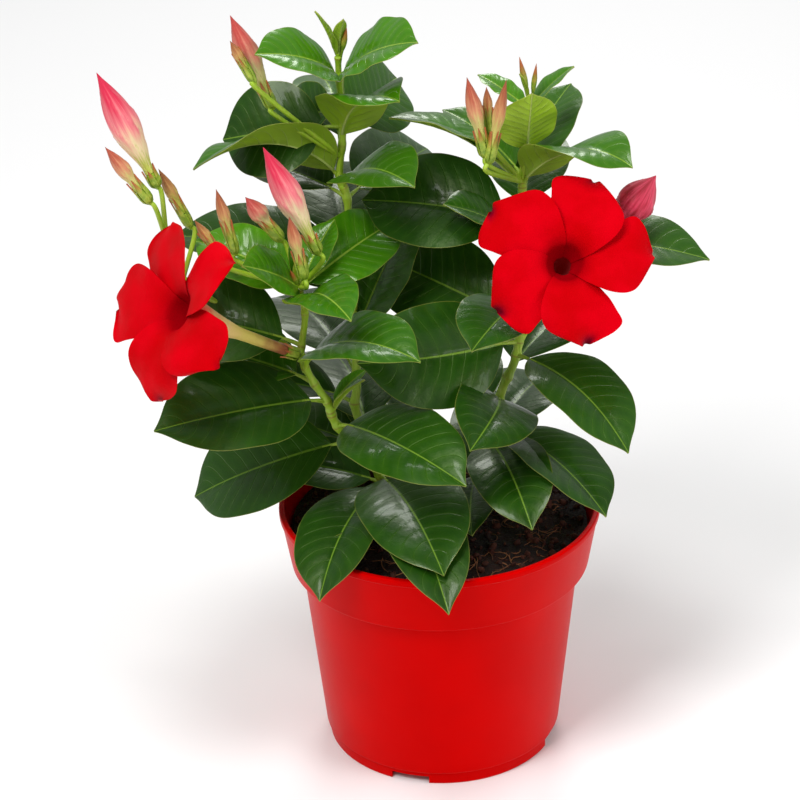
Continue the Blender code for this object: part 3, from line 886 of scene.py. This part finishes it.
# %% Stem shapes
STEM_RADIUS = 2.3
STEM_TIP_SHARE = 0.55
STEM_SIDES = 16
STEM_STEPS = 22
NODE_SWELLING = 0.28
NODE_REACH = 1.7
SCAR_REACH = 0.8
CALYX_LENGTH = 8.0
CALYX_RADIUS = 2.2
STALK_RADIUS = 1.1
STALK_SIDES = 10
STALK_STEPS = 6
GREEN_STEM, UPPER_FACE, LOWER_FACE, SEPAL = range(4)


def on_line(line, height):
    """The point of a rising line at a height."""
    for low, high in zip(line, line[1:]):
        if low.z <= height <= high.z:
            return low.lerp(high, (height - low.z) / (high.z - low.z))
    return line[-1]


def grow_stem(skin, line, node_heights):
    swellings, scars = [], []
    for point in line:
        nearest = min(abs(point.z - height) for height in node_heights)
        swellings.append(bell(nearest, NODE_REACH))
        scars.append(bell(nearest, SCAR_REACH))
    last = len(line) - 1
    radii = [
        STEM_RADIUS * (1 + (STEM_TIP_SHARE - 1) * i / last) * (1 + NODE_SWELLING * swelling)
        for i, swelling in enumerate(swellings)
    ]
    radii[-1] *= 0.5
    shares = even_shares(last)
    rings = rings_along(line, radii, STEM_SIDES)
    skin.loft(rings, GREEN_STEM, along=shares, scar=scars, youth=shares)


def stalk(skin, points, radius, end_share=0.9, youth=0.9):
    """A flower stalk or a petiole: a thin round stem along a few points."""
    line = smooth_line(points, STALK_STEPS)
    last = len(line) - 1
    radii = [radius * (1 + (end_share - 1) * i / last) for i in range(last + 1)]
    rings = rings_along(line, radii, STALK_SIDES)
    skin.loft(rings, GREEN_STEM, along=even_shares(last), youth=youth)


# %% [markdown]
# ## Leaves
#
# Each blade is arched along its length and folded a little along its midrib. Between the side
# veins it swells like a quilt, more so while it is young, and its margin waves slightly. The
# outline is widest just before the middle and runs out into a narrow drip tip. The loft's
# outlines cross the blade from edge to edge over the top and come back underneath, so the upper
# and lower faces can have a finish each.

# %% Blade shape
BLADE_OUTLINE = [
    (0.0, 0.05), (0.03, 0.22), (0.08, 0.45), (0.16, 0.71), (0.28, 0.92), (0.42, 1.0), (0.56, 0.985),
    (0.70, 0.885), (0.80, 0.715), (0.88, 0.47), (0.93, 0.255), (0.965, 0.12), (1.0, 0.012),
]
BLADE_ROWS = 56
BLADE_HALF_COLUMNS = 9
BLADE_FOLD = math.radians(12)
BLADE_THICKNESS = 0.5
MARGIN_THICKNESS = 0.16
PETIOLE_RADIUS = 1.15
PETIOLE_LIFT = math.radians(8)
SIDE_VEINS = 11
VEIN_SLANT = 1.3
VEIN_ARC = 0.7
QUILT_OLD = 0.16
QUILT_YOUNG = 0.62
RIPPLE_OLD = 0.3
RIPPLE_GAIN = 0.6
RELIEF_HALF_WIDTH = 20.0
MIDRIB_GROOVE = 0.55
MIDRIB_REACH = 0.9
PETIOLE_UNDER = 0.45


def leaf_axes(heading, pitch, roll):
    """Unit vectors along the leaf, to its right seen from above, and out of its upper face."""
    heading, pitch, roll = (math.radians(angle) for angle in (heading, pitch, roll))
    along = Vector((
        math.cos(pitch) * math.cos(heading), math.cos(pitch) * math.sin(heading), math.sin(pitch),
    ))
    side = Vector((math.sin(heading), -math.cos(heading), 0))
    up = side.cross(along)
    return (
        along,
        side * math.cos(roll) - up * math.sin(roll),
        up * math.cos(roll) + side * math.sin(roll),
    )


def vein_phase(station, across):
    """Whole numbers lie on the side veins, which leave the midrib at a slant and arc to the tip."""
    return SIDE_VEINS * station - VEIN_SLANT * abs(across) - VEIN_ARC * across * across


def quilting(station, across, youth):
    """How far the blade swells between its veins, in millimetres."""
    swell = abs(math.sin(math.pi * vein_phase(station, across))) ** 0.8
    spread = math.sin(math.pi * min(1.0, abs(across) * 0.95 + 0.03)) ** 0.6
    ends = min(1.0, station * 8, (1 - station) * 6)
    return (QUILT_OLD + (QUILT_YOUNG - QUILT_OLD) * youth) * swell * spread * ends


def grow_leaf(
    skin, draw, root, heading, pitch, length, width, roll, bend, petiole, youth, twist=0, lean=0
):
    along, side, up = leaf_axes(heading, pitch, roll)
    arc = math.radians(bend)
    radius = length / (2 * math.sin(arc / 2))
    rise = arc / 2 + PETIOLE_LIFT
    foot = root + (along * math.cos(rise) + up * math.sin(rise)) * petiole
    wave = draw.uniform(0, math.tau)
    waves = draw.uniform(2.2, 3.4)
    sway = draw.uniform(-0.03, 0.03) * length
    tone = draw.random()
    shares = [k / BLADE_HALF_COLUMNS for k in range(-BLADE_HALF_COLUMNS, BLADE_HALF_COLUMNS + 1)]
    shares = [math.copysign(abs(a) ** 0.85, a) for a in shares]
    rings, crossings, reaches = [], [], []
    for station in even_shares(BLADE_ROWS):
        angle = arc / 2 - arc * station
        run = radius * (math.sin(arc / 2) - math.sin(angle))
        lift = radius * (math.cos(angle) - math.cos(arc / 2))
        out = up * math.cos(angle) - along * math.sin(angle)
        ahead = along * math.cos(angle) + up * math.sin(angle)
        turn = Matrix.Rotation(math.radians(lean + twist * station), 3, ahead)
        out, beside = turn @ out, turn @ side
        half = width / 2 * follow(BLADE_OUTLINE, station)
        middle = foot + along * run + up * lift + beside * sway * math.sin(math.pi * station)
        upper, lower = [], []
        for a in shares:
            fold = 1.6 * math.tan(BLADE_FOLD) * (abs(a) - a * a / 2) * half
            phase = math.tau * waves * station + wave + a
            ripple = (RIPPLE_OLD + RIPPLE_GAIN * youth) * math.sin(phase) * a * a
            quilt = quilting(station, a, youth)
            groove = MIDRIB_GROOVE * bell(a * half, MIDRIB_REACH) * (1 - 0.6 * station)
            height = fold + ripple * half / RELIEF_HALF_WIDTH + quilt * half / RELIEF_HALF_WIDTH
            height -= groove * min(1.0, half / 8)
            thick = MARGIN_THICKNESS + (BLADE_THICKNESS - MARGIN_THICKNESS) * (1 - a ** 4)
            place = middle + beside * a * half + out * height
            upper.append(place)
            lower.append(place - out * (thick + groove * 1.2))
        rings.append(upper + lower[::-1])
        crossings.append(shares + shares[::-1])
        reaches.append(half)
    columns = len(shares)
    faces = [UPPER_FACE] * (columns - 1) + [LOWER_FACE] * (columns + 1)
    skin.loft(
        rings, faces, along=even_shares(BLADE_ROWS), across=crossings, reach=reaches,
        youth=youth, tone=tone,
    )
    start = (along * math.cos(arc / 2) + up * math.sin(arc / 2)) * 4.0
    under = foot - up * PETIOLE_UNDER
    way = [root, root.lerp(under, 0.55) + up * 0.3, under, under + start]
    stalk(skin, way, PETIOLE_RADIUS, 0.35, youth)


print("vein phase at a leaf's middle:", vein_phase(0.5, 0.0))

# %% [markdown]
# ## Leaf finishes
#
# The upper face is a deep glossy green. Its midrib is a pale yellow-green line that narrows to
# the tip, the side veins are fine and lighter, and a hair-thin margin is paler too. All of them
# are drawn from the readings at the points, so they lie exactly in the folds and grooves of the
# mesh. Young leaves are brighter, lighter along the veins and glossier. The lower face is a
# paler and duller green, on which the veins stand out. Part of that paleness is its own colour
# and part is painted light, which stands for the light that shines through the thin blade.

# %% Leaf finishes
def vein_masks(finish):
    """Where the midrib, the side veins, the fields between and the margin are, from 0 to 1."""
    along = finish.reading("along")
    across = abs(finish.reading("across"))
    reach = finish.reading("reach")
    offset = across * reach
    half_rib = 0.54 - along * 0.38
    midrib = finish.step(offset - half_rib, -0.18, 0.22, 1.0, 0.0)
    phase = along * SIDE_VEINS - across * VEIN_SLANT - across * across * VEIN_ARC
    phase = phase + (finish.grain(55.0, 1.0) - 0.5) * 0.5
    whole = finish.node("Math", {"operation": "FLOOR"}, {"Value": phase + 0.5})
    near = abs(phase + 0.5 - whole - 0.5)
    side_vein = finish.step(near, 0.01, 0.06, 1.0, 0.0) * finish.step(across, 0.55, 0.98, 1.0, 0.0)
    between = finish.step(near, 0.0, 0.5)
    margin = finish.step(reach - offset, 0.12, 0.42, 1.0, 0.0)
    return midrib, side_vein, between, margin


def leaf_top():
    finish = Finish(
        "leaf_upper_face", specular_ior_level=0.35, specular_tint=(0.85, 1.0, 0.55),
        coat_roughness=0.10, coat_ior=1.4,
    )
    midrib, side_vein, between, margin = vein_masks(finish)
    youth = finish.reading("youth")
    tone = finish.reading("tone")
    mottle = finish.grain(70.0, 4.0)
    cells = finish.grain(1500.0, 2.0)
    pucker = finish.grain(260.0, 3.0)
    old = finish.mix(tone, rgb(14, 48, 3), rgb(28, 70, 8))
    young = finish.mix(tone, rgb(44, 102, 0), rgb(72, 134, 2))
    blade = finish.mix(finish.step(youth, 0.0, 1.0), old, young)
    blade = finish.mix(finish.step(mottle, 0.35, 0.75, 0.0, 0.30), blade, rgb(40, 88, 16))
    blade = finish.mix((1.0 - between) * (0.02 + youth * 0.10), blade, rgb(110, 160, 24))
    blade = finish.mix(side_vein * (0.05 + youth * 0.13), blade, rgb(112, 160, 44))
    blade = finish.mix(midrib * 0.72, blade, finish.mix(youth, rgb(112, 150, 44), rgb(160, 190, 70)))
    blade = finish.mix(margin * 0.42, blade, rgb(132, 136, 56))
    finish.set(
        base_color=blade,
        roughness=0.33 - youth * 0.07 + mottle * 0.10,
        coat_weight=0.20 + youth * 0.25,
        normal=finish.bump(cells * 0.10 - side_vein * 0.35 + mottle * 0.5 + pucker * 0.6, 0.0004),
    )
    return finish


def leaf_underside():
    finish = Finish("leaf_lower_face", roughness=0.5, specular_ior_level=0.35)
    midrib, side_vein, _, margin = vein_masks(finish)
    youth = finish.reading("youth")
    mottle = finish.grain(90.0, 4.0)
    # Paler green: partly the lower face's own colour, partly painted light that shines through the
    # blade.
    blade = finish.mix(youth, rgb(104, 136, 44), rgb(150, 184, 34))
    blade = finish.mix(finish.step(mottle, 0.3, 0.75, 0.0, 0.30), blade, rgb(130, 152, 62))
    blade = finish.mix(side_vein * 0.5, blade, rgb(150, 172, 84))
    blade = finish.mix(midrib * 0.9, blade, rgb(176, 192, 104))
    blade = finish.mix(margin * 0.5, blade, rgb(160, 150, 84))
    finish.set(
        base_color=blade,
        roughness=finish.step(mottle, 0.3, 0.7, 0.45, 0.6),
        normal=finish.bump(side_vein * 0.7 + midrib + mottle * 0.2, 0.0003),
    )
    return finish


def stem_green():
    finish = Finish("green_stem", specular_ior_level=0.5)
    scar = finish.reading("scar")
    youth = finish.reading("youth")
    streaks = finish.grain(700.0, 3.0, finish.place((1.0, 1.0, 0.25)))
    blotches = finish.grain(120.0)
    skin = finish.mix(youth, rgb(128, 160, 28), rgb(156, 192, 38))
    skin = finish.mix(finish.step(streaks, 0.4, 0.7, 0.0, 0.5), skin, rgb(176, 188, 76))
    blush = finish.step(scar * 0.6 + blotches * 0.5, 0.55, 1.0, 0.0, 0.7)
    skin = finish.mix(blush, skin, rgb(128, 66, 34))
    finish.set(
        base_color=skin,
        roughness=0.42 + blotches * 0.15,
        normal=finish.bump(streaks + blotches, 0.0003),
    )
    return finish


def sepal_green():
    finish = Finish("sepal", roughness=0.42)
    along = finish.reading("along")
    fine = finish.grain(420.0, 3.0)
    green = finish.mix(finish.step(fine, 0.35, 0.7), rgb(120, 150, 36), rgb(168, 184, 66))
    rust = finish.step(along + fine * 0.35, 0.62, 1.05)
    finish.set(
        base_color=finish.mix(rust, green, rgb(172, 92, 44)),
        normal=finish.bump(fine, 0.0003),
    )
    return finish


# %% [markdown]
# ## Sepals and stalks
#
# A mandevilla corolla stands on a short green cup with five narrow pointed sepals, whose tips
# are rusty. Each sepal is a small closed loft that hugs the corolla's foot. A green bud has
# longer ones, which cover more of it.

# %% Stalk, cup and sepals of one flower
SEPAL_ROWS = 8
SEPAL_LENGTH = 9.5
SEPAL_EXTRA = 6.5
SEPAL_OUTLINE = [(0.0, 0.75), (0.3, 1.0), (0.6, 0.72), (0.85, 0.32), (1.0, 0.04)]
CUP_SIDES = 12
FLOWER_PARTS = 5


def square_axes(axis):
    """Two unit vectors square to an axis and to each other, the second as upright as can be."""
    turn = axis.to_track_quat("Z", "Y").to_matrix()
    return turn.col[0], turn.col[1]


def grow_calyx(skin, draw, start, base, ahead, radius, greenness=0.0):
    axis = (ahead - base).normalized()
    foot = base - axis * CALYX_LENGTH
    stalk(skin, [start, foot - axis * 3, foot + axis * 1.5], STALK_RADIUS, 0.9)
    right, up = square_axes(axis)
    rim = CALYX_LENGTH - 0.3
    cup = [
        (0.02, 0.0), (0.9, 0.0), (radius * 0.95, 2.0), (radius, CALYX_LENGTH * 0.6), (radius, rim),
        (0.02, rim),
    ]
    rings = [
        [foot + right * p.x + up * p.y + axis * p.z for p in ring]
        for ring in turned_rings(cup, CUP_SIDES)
    ]
    skin.loft(rings, GREEN_STEM, along=0.5, youth=0.8)
    for a in angles_round(FLOWER_PARTS):
        a += draw.uniform(-0.15, 0.15)
        out = right * math.cos(a) + up * math.sin(a)
        side = axis.cross(out)
        flare = draw.uniform(0.2, 1.0) * (1 - 0.5 * greenness)
        length = (SEPAL_LENGTH + SEPAL_EXTRA * greenness) * draw.uniform(0.9, 1.15)
        rings = []
        for share in even_shares(SEPAL_ROWS):
            half = radius * 0.62 * follow(SEPAL_OUTLINE, share)
            away = radius + 0.45 + flare * share ** 3
            middle = foot + axis * (1.0 + length * share) + out * away * min(1.0, 0.55 + share * 3)
            top = [middle + side * half * u + out * 0.25 * (1 - u * u) for u in (-1, -0.4, 0.4, 1)]
            low = [place - out * 0.4 for place in top[::-1]]
            rings.append(top + low)
        skin.loft(rings, SEPAL, along=even_shares(SEPAL_ROWS), youth=0.8)


# %% Buds that are only just forming, at the heads of the shoots
TINY_BUD_OUTLINE = (0.45, 0.42, 0.5, 0.85, 1.0, 0.95, 0.7, 0.4, 0.05)

# Stem, foot, tip, radius
TINY_BUDS = [
    ("right", (40, 20, 291), (36, 20, 311), 1.4), ("right", (41, 20, 291), (43, 20, 308), 1.2),
    ("middle", (-38, 33, 307), (-35, 31, 321), 1.4), ("left", (-57, -9, 220), (-60, -14, 232), 1.3),
]


def grow_tiny_bud(skin, foot, tip, radius):
    shares = even_shares(len(TINY_BUD_OUTLINE) - 1)
    line = [Vector(foot).lerp(Vector(tip), share) for share in shares]
    radii = [radius * r for r in TINY_BUD_OUTLINE]
    skin.loft(rings_along(line, radii, STALK_SIDES), SEPAL, along=shares, youth=1.0)


# %% Grow the three shoots
def grow_shoot(stem, finishes):
    draw = random.Random(f"shoot {stem}")
    skin = Skin("along", "across", "reach", "youth", "tone", "scar")
    line = smooth_line(STEMS[stem], STEM_STEPS)
    grow_stem(skin, line, [row[0] for row in LEAVES[stem]])
    for height, *shape in LEAVES[stem]:
        grow_leaf(skin, draw, on_line(line, height), *shape)
    for owner, radius, points in STALKS:
        if owner == stem:
            stalk(skin, points, radius)
    for owner, start, base, tip, radius, ripeness in BUDS.values():
        if owner == stem:
            foot = min(CALYX_RADIUS, radius * 0.7)
            greenness = max(0.0, 1 - ripeness)
            grow_calyx(skin, draw, Vector(start), Vector(base), Vector(tip), foot, greenness)
    for owner, start, foot, throat in BLOOMS.values():
        if owner == stem:
            grow_calyx(skin, draw, Vector(start), Vector(foot), Vector(throat), CALYX_RADIUS)
    for owner, foot, tip, radius in TINY_BUDS:
        if owner == stem:
            grow_tiny_bud(skin, foot, tip, radius)
    return skin.piece(f"leafy_{stem}", f"shoot_{stem}", finishes, crease=70)


shoot_finishes = [stem_green(), leaf_top(), leaf_underside(), sepal_green()]
for stem in STEMS:
    grow_shoot(stem, shoot_finishes)

# %% [markdown]
# ## Buds
#
# In the bud the five lobes are rolled round one another, each with one edge tucked under the
# next, so the bud has five ridges that wind up to its point. The outline of each ring here is a
# circle with five saw teeth, turned a little further at each height. A ripe bud is crimson at
# its tip and cream at its foot; a small one is tan over yellow-green. The closed bloom is the
# same form, crimson all over.

# %% Bud shape and finish
BUD_ROWS = 40
BUD_SIDES = 50
BUD_PROFILE = [(0.24, 0.68), (0.44, 1.0), (0.62, 0.90), (0.80, 0.52), (0.92, 0.20), (1.0, 0.02)]
BUD_TWIST = 0.55
BUD_RIDGE = 0.10


def grow_bud(skin, base, tip, radius, ripeness):
    axis = (tip - base).normalized()
    length = (tip - base).length
    right, up = square_axes(axis)
    foot = min(CALYX_RADIUS, radius * 0.7) / radius
    profile = [(0.0, foot), (0.07, foot * 1.05), *BUD_PROFILE]
    shares, angles = even_shares(BUD_ROWS), angles_round(BUD_SIDES)
    rings, turns = [], []
    for share in shares:
        size = max(radius * follow(profile, share), 0.05)
        ridge = BUD_RIDGE * min(1.0, share * 5)
        middle = base + axis * length * share
        ring, turned = [], []
        for k, a in enumerate(angles):
            tooth = (FLOWER_PARTS * (k / BUD_SIDES + BUD_TWIST * share)) % 1.0
            out = size * (1 + ridge * (tooth - 0.6))
            ring.append(middle + (right * math.cos(a) + up * math.sin(a)) * out)
            turned.append(tooth)
        rings.append(ring)
        turns.append(turned)
    east = [[math.cos(a) for a in angles] for _ in shares]
    north = [[math.sin(a) for a in angles] for _ in shares]
    skin.loft(rings, along=shares, tooth=turns, ripe=ripeness, east=east, north=north)


def bud_finish():
    finish = Finish("rolled_petals", roughness=0.5, sheen_weight=0.1, specular_ior_level=0.3)
    along = finish.reading("along")
    tooth = finish.reading("tooth")
    ripe = finish.reading("ripe")
    east = finish.reading("east") * 1.6
    north = finish.reading("north") * 1.6
    unrolled = finish.node("CombineXYZ", None, {"X": east, "Y": north, "Z": along * 0.7})
    streaks = finish.grain(3.0, 4.0, unrolled)
    level = along + (tooth - 0.5) * 0.10 + (streaks - 0.5) * 0.55
    foot = finish.mix(ripe, rgb(136, 164, 26), rgb(190, 200, 84))
    cream = finish.mix(ripe, rgb(186, 184, 62), rgb(240, 218, 172))
    blush = finish.mix(ripe, rgb(188, 150, 76), rgb(234, 128, 134))
    tip = finish.mix(ripe, rgb(142, 98, 48), rgb(208, 34, 70))
    colour = finish.mix(finish.step(level, 0.02, 0.22), foot, cream)
    colour = finish.mix(finish.step(level, 0.22, 0.58), colour, blush)
    colour = finish.mix(finish.step(level, 0.42, 0.88), colour, tip)
    crimson = finish.mix(finish.step(streaks, 0.3, 0.7), rgb(168, 6, 36), rgb(226, 70, 100))
    colour = finish.mix(finish.step(ripe, 1.2, 1.8), colour, crimson)
    seam = finish.step(tooth, 0.0, 0.10, 0.35, 0.0)
    finish.set(
        base_color=finish.mix(seam, colour, rgb(150, 30, 50)),
        roughness=0.42 + streaks * 0.15,
        normal=finish.bump(streaks, 0.0003),
    )
    return finish


rolled_petals = bud_finish()
for name, (_, _, base, tip, radius, ripeness) in BUDS.items():
    skin = Skin("along", "tooth", "ripe", "east", "north")
    grow_bud(skin, Vector(base), Vector(tip), radius, ripeness)
    skin.piece(f"rolled_{name}", name, [rolled_petals], crease=50)

# %% [markdown]
# ## Blooms
#
# An open mandevilla has a narrow tube, a funnel and five broad lobes that overlap like the
# blades of a pinwheel. Each lobe is a loft like a leaf's, wider on one side, with a waved
# surface, a soft crease and a dark, curled corner. The tube and funnel are one turned loft. Near
# the throat a faint red glow stands for the light that comes through such thin petals.

# %% Bloom shape
LOBE_ROWS = 40
LOBE_HALF_COLUMNS = 12
FUNNEL_SHARE = 0.30
THROAT_RADIUS = 8.6
LOBE_RADII = [
    (0.0, 3.8), (0.17, 6.6), (0.30, 8.6), (0.38, 11.4), (0.55, 18.0), (0.70, 25.0), (0.85, 31.5),
    (0.95, 35.8), (1.0, 37.5),
]
LOBE_HALF_WIDTHS = [
    (0.0, 3.0), (0.17, 5.4), (0.30, 7.4), (0.38, 10.0), (0.55, 14.0), (0.70, 15.8), (0.83, 15.0),
    (0.92, 11.6), (0.97, 7.6), (1.0, 4.0),
]
LOBE_LIFTS = [
    (0.30, -0.3), (0.38, 2.0), (0.55, 3.9), (0.70, 3.6), (0.85, 2.3), (0.95, 0.4), (1.0, -1.2),
]
FUNNEL_DEPTHS = [(0.0, 0.25), (0.17, 0.10), (0.30, 0.0)]
LOBE_ROUNDING = 4.0
LOBE_SKEW = 3.0
LOBE_TILT = math.tan(math.radians(8))
LOBE_THICKNESS = 0.4
RUFFLE_HEIGHT = 1.0
WAVE_HEIGHT = 2.2
CREASE_DEPTH = 5.0
CURL_DROP = 4.5
CURL_PULL = 1.8
TUBE_SIDES = 48


def past_funnel(share):
    """0 down in the funnel, then up to 1 at the rim of a lobe."""
    return max(0.0, (share - FUNNEL_SHARE) / (1 - FUNNEL_SHARE))


def lobe_place(share, a, length, reach, width, lift_more):
    """A place on a lobe: out from the axis, across (left seen from the front) and forwards."""
    spread = past_funnel(share)
    radius = follow(LOBE_RADII, share)
    radius = radius if share < FUNNEL_SHARE else THROAT_RADIUS + (radius - THROAT_RADIUS) * reach
    half = follow(LOBE_HALF_WIDTHS, share) * (1 + (width - 1) * spread)
    corner = 1 + 0.16 * bell(share - 0.86, 0.12) * max(0.0, a)
    over = half * a * corner + LOBE_SKEW * spread
    out = radius - LOBE_ROUNDING * a * a * spread * (0.5 if a > 0 else 1.0)
    if share < FUNNEL_SHARE:
        lift = -length * follow(FUNNEL_DEPTHS, share)
    else:
        lift = follow(LOBE_LIFTS, share)
    lift += lift_more * spread ** 1.5 - over * LOBE_TILT * min(1.0, spread * 5)
    wrapped = 1 - min(1.0, max(0.0, (radius - 8) / 8))
    angle = over / radius
    near = out + over * 0.07 * wrapped
    x = near * (math.cos(angle) * wrapped + 1 - wrapped)
    y = near * math.sin(angle) * wrapped + over * (1 - wrapped)
    return Vector((x, y, lift))


def grow_lobe(skin, draw, matrix, length, heading, reach, width, lift_more, curl_more):
    ruffle = draw.uniform(0, math.tau)
    curl_place = draw.uniform(0.15, 0.40)
    seed = draw.uniform(0, 40)
    shares = [k / LOBE_HALF_COLUMNS for k in range(-LOBE_HALF_COLUMNS, LOBE_HALF_COLUMNS + 1)]
    turn = Matrix.Rotation(math.radians(heading), 3, "Z")
    rings, bruises = [], []
    for share in even_shares(LOBE_ROWS):
        spread = past_funnel(share)
        upper, lower, bruise = [], [], []
        for a in shares:
            place = lobe_place(share, a, length, reach, width, lift_more)
            place.z += RUFFLE_HEIGHT * math.sin(5 * a + ruffle + 3 * share) * abs(a) ** 2 * spread
            wave = noise.noise(Vector((place.x * 0.08, place.y * 0.08, seed)))
            place.z += WAVE_HEIGHT * wave * spread
            place.z -= CREASE_DEPTH * bell(a, 0.30) * spread * (1 - spread) ** 3
            curl = bell(a - curl_place, 0.36) * max(0.0, (share - 0.76) / 0.24) ** 1.8
            place.z -= CURL_DROP * curl * curl_more
            place.x -= CURL_PULL * curl * curl_more
            upper.append(matrix @ (turn @ place))
            lower.append(matrix @ (turn @ (place - Vector((0, 0, LOBE_THICKNESS)))))
            bruise.append(curl * curl_more)
        rings.append(upper + lower[::-1])
        bruises.append(bruise + bruise[::-1])
    skin.loft(rings, 0, along=even_shares(LOBE_ROWS), bruise=bruises)


def grow_bloom(skin, draw, foot, throat, lobes):
    length = (throat - foot).length
    axis = (throat - foot).normalized()
    right, up = square_axes(axis)
    matrix = Matrix.Translation(throat) @ Matrix((right, up, axis)).transposed().to_4x4()
    profile = [
        (0.1, -length * 0.55), (1.6, -length * 0.52), (3.6, -length * 0.36), (6.4, -length * 0.14),
        (8.6, -0.9), (9.2, -1.0), (7.9, -length * 0.12), (4.6, -length * 0.36), (2.6, -length * 0.55),
        (2.2, -length), (0.1, -length),
    ]
    profile = rounded(profile, 2.0, 4)
    rings = [[matrix @ p for p in ring] for ring in turned_rings(profile, TUBE_SIDES)]
    depths = [(height + length) / length for _, height in profile]
    rim = max(range(len(profile)), key=lambda i: profile[i][0])
    inside = [1.0 if i < rim else 0.0 for i in range(len(profile))]
    skin.loft(rings, 1, along=depths, inside=inside)
    for lobe in lobes:
        grow_lobe(skin, draw, matrix, length, *lobe)


# %% Petal finishes
def petal_red():
    finish = Finish(
        "velvet_petal", sheen_weight=0.04, sheen_roughness=0.35, sheen_tint=rgb(255, 40, 70),
        specular_ior_level=0.08, specular_tint=(1.0, 0.06, 0.10), emission_strength=1.0,
    )
    along = finish.reading("along")
    bruise = finish.reading("bruise")
    soft = finish.grain(60.0, 3.0)
    fine = finish.grain(1400.0, 2.0)
    red = finish.mix(finish.step(soft, 0.3, 0.7), rgb(186, 0, 6), rgb(206, 0, 16))
    red = finish.mix(finish.step(along, 0.16, 0.43, 0.78, 0.0), red, rgb(120, 0, 7))
    # Darker, maroon red where a lobe's corner curls.
    red = finish.mix(finish.step(bruise, 0.15, 0.8, 0.0, 0.8), red, rgb(92, 4, 34))
    glow = finish.mix(finish.step(along, 0.0, 0.34, 1.0, 0.0), (0.0, 0.0, 0.0), (0.075, 0.0, 0.001))
    finish.set(
        base_color=red,
        roughness=0.55 + soft * 0.12,
        normal=finish.bump(fine * 0.4 + soft, 0.0003),
        emission_color=glow,
    )
    return finish


def tube_finish():
    finish = Finish("corolla_tube", roughness=0.5, sheen_weight=0.1, emission_strength=1.0)
    along = finish.reading("along")
    inside = finish.reading("inside")
    streaks = finish.grain(300.0, 3.0)
    level = along + (streaks - 0.5) * 0.2
    colour = finish.mix(finish.step(level, 0.05, 0.35), rgb(142, 76, 34), rgb(204, 186, 84))
    colour = finish.mix(finish.step(level, 0.35, 0.65), colour, rgb(222, 184, 120))
    colour = finish.mix(finish.step(level, 0.60, 0.95), colour, rgb(214, 20, 38))
    colour = finish.mix(inside, colour, rgb(140, 0, 8))
    glow = finish.mix(inside, (0.0, 0.0, 0.0), (0.03, 0.0, 0.0))
    finish.set(base_color=colour, emission_color=glow, normal=finish.bump(streaks, 0.0003))
    return finish


petal_finishes = [petal_red(), tube_finish()]
for name, (_, _, foot, throat) in BLOOMS.items():
    skin = Skin("along", "bruise", "inside")
    grow_bloom(skin, random.Random(name), Vector(foot), Vector(throat), LOBES[name])
    skin.piece(f"open_{name}", name, petal_finishes, crease=60)
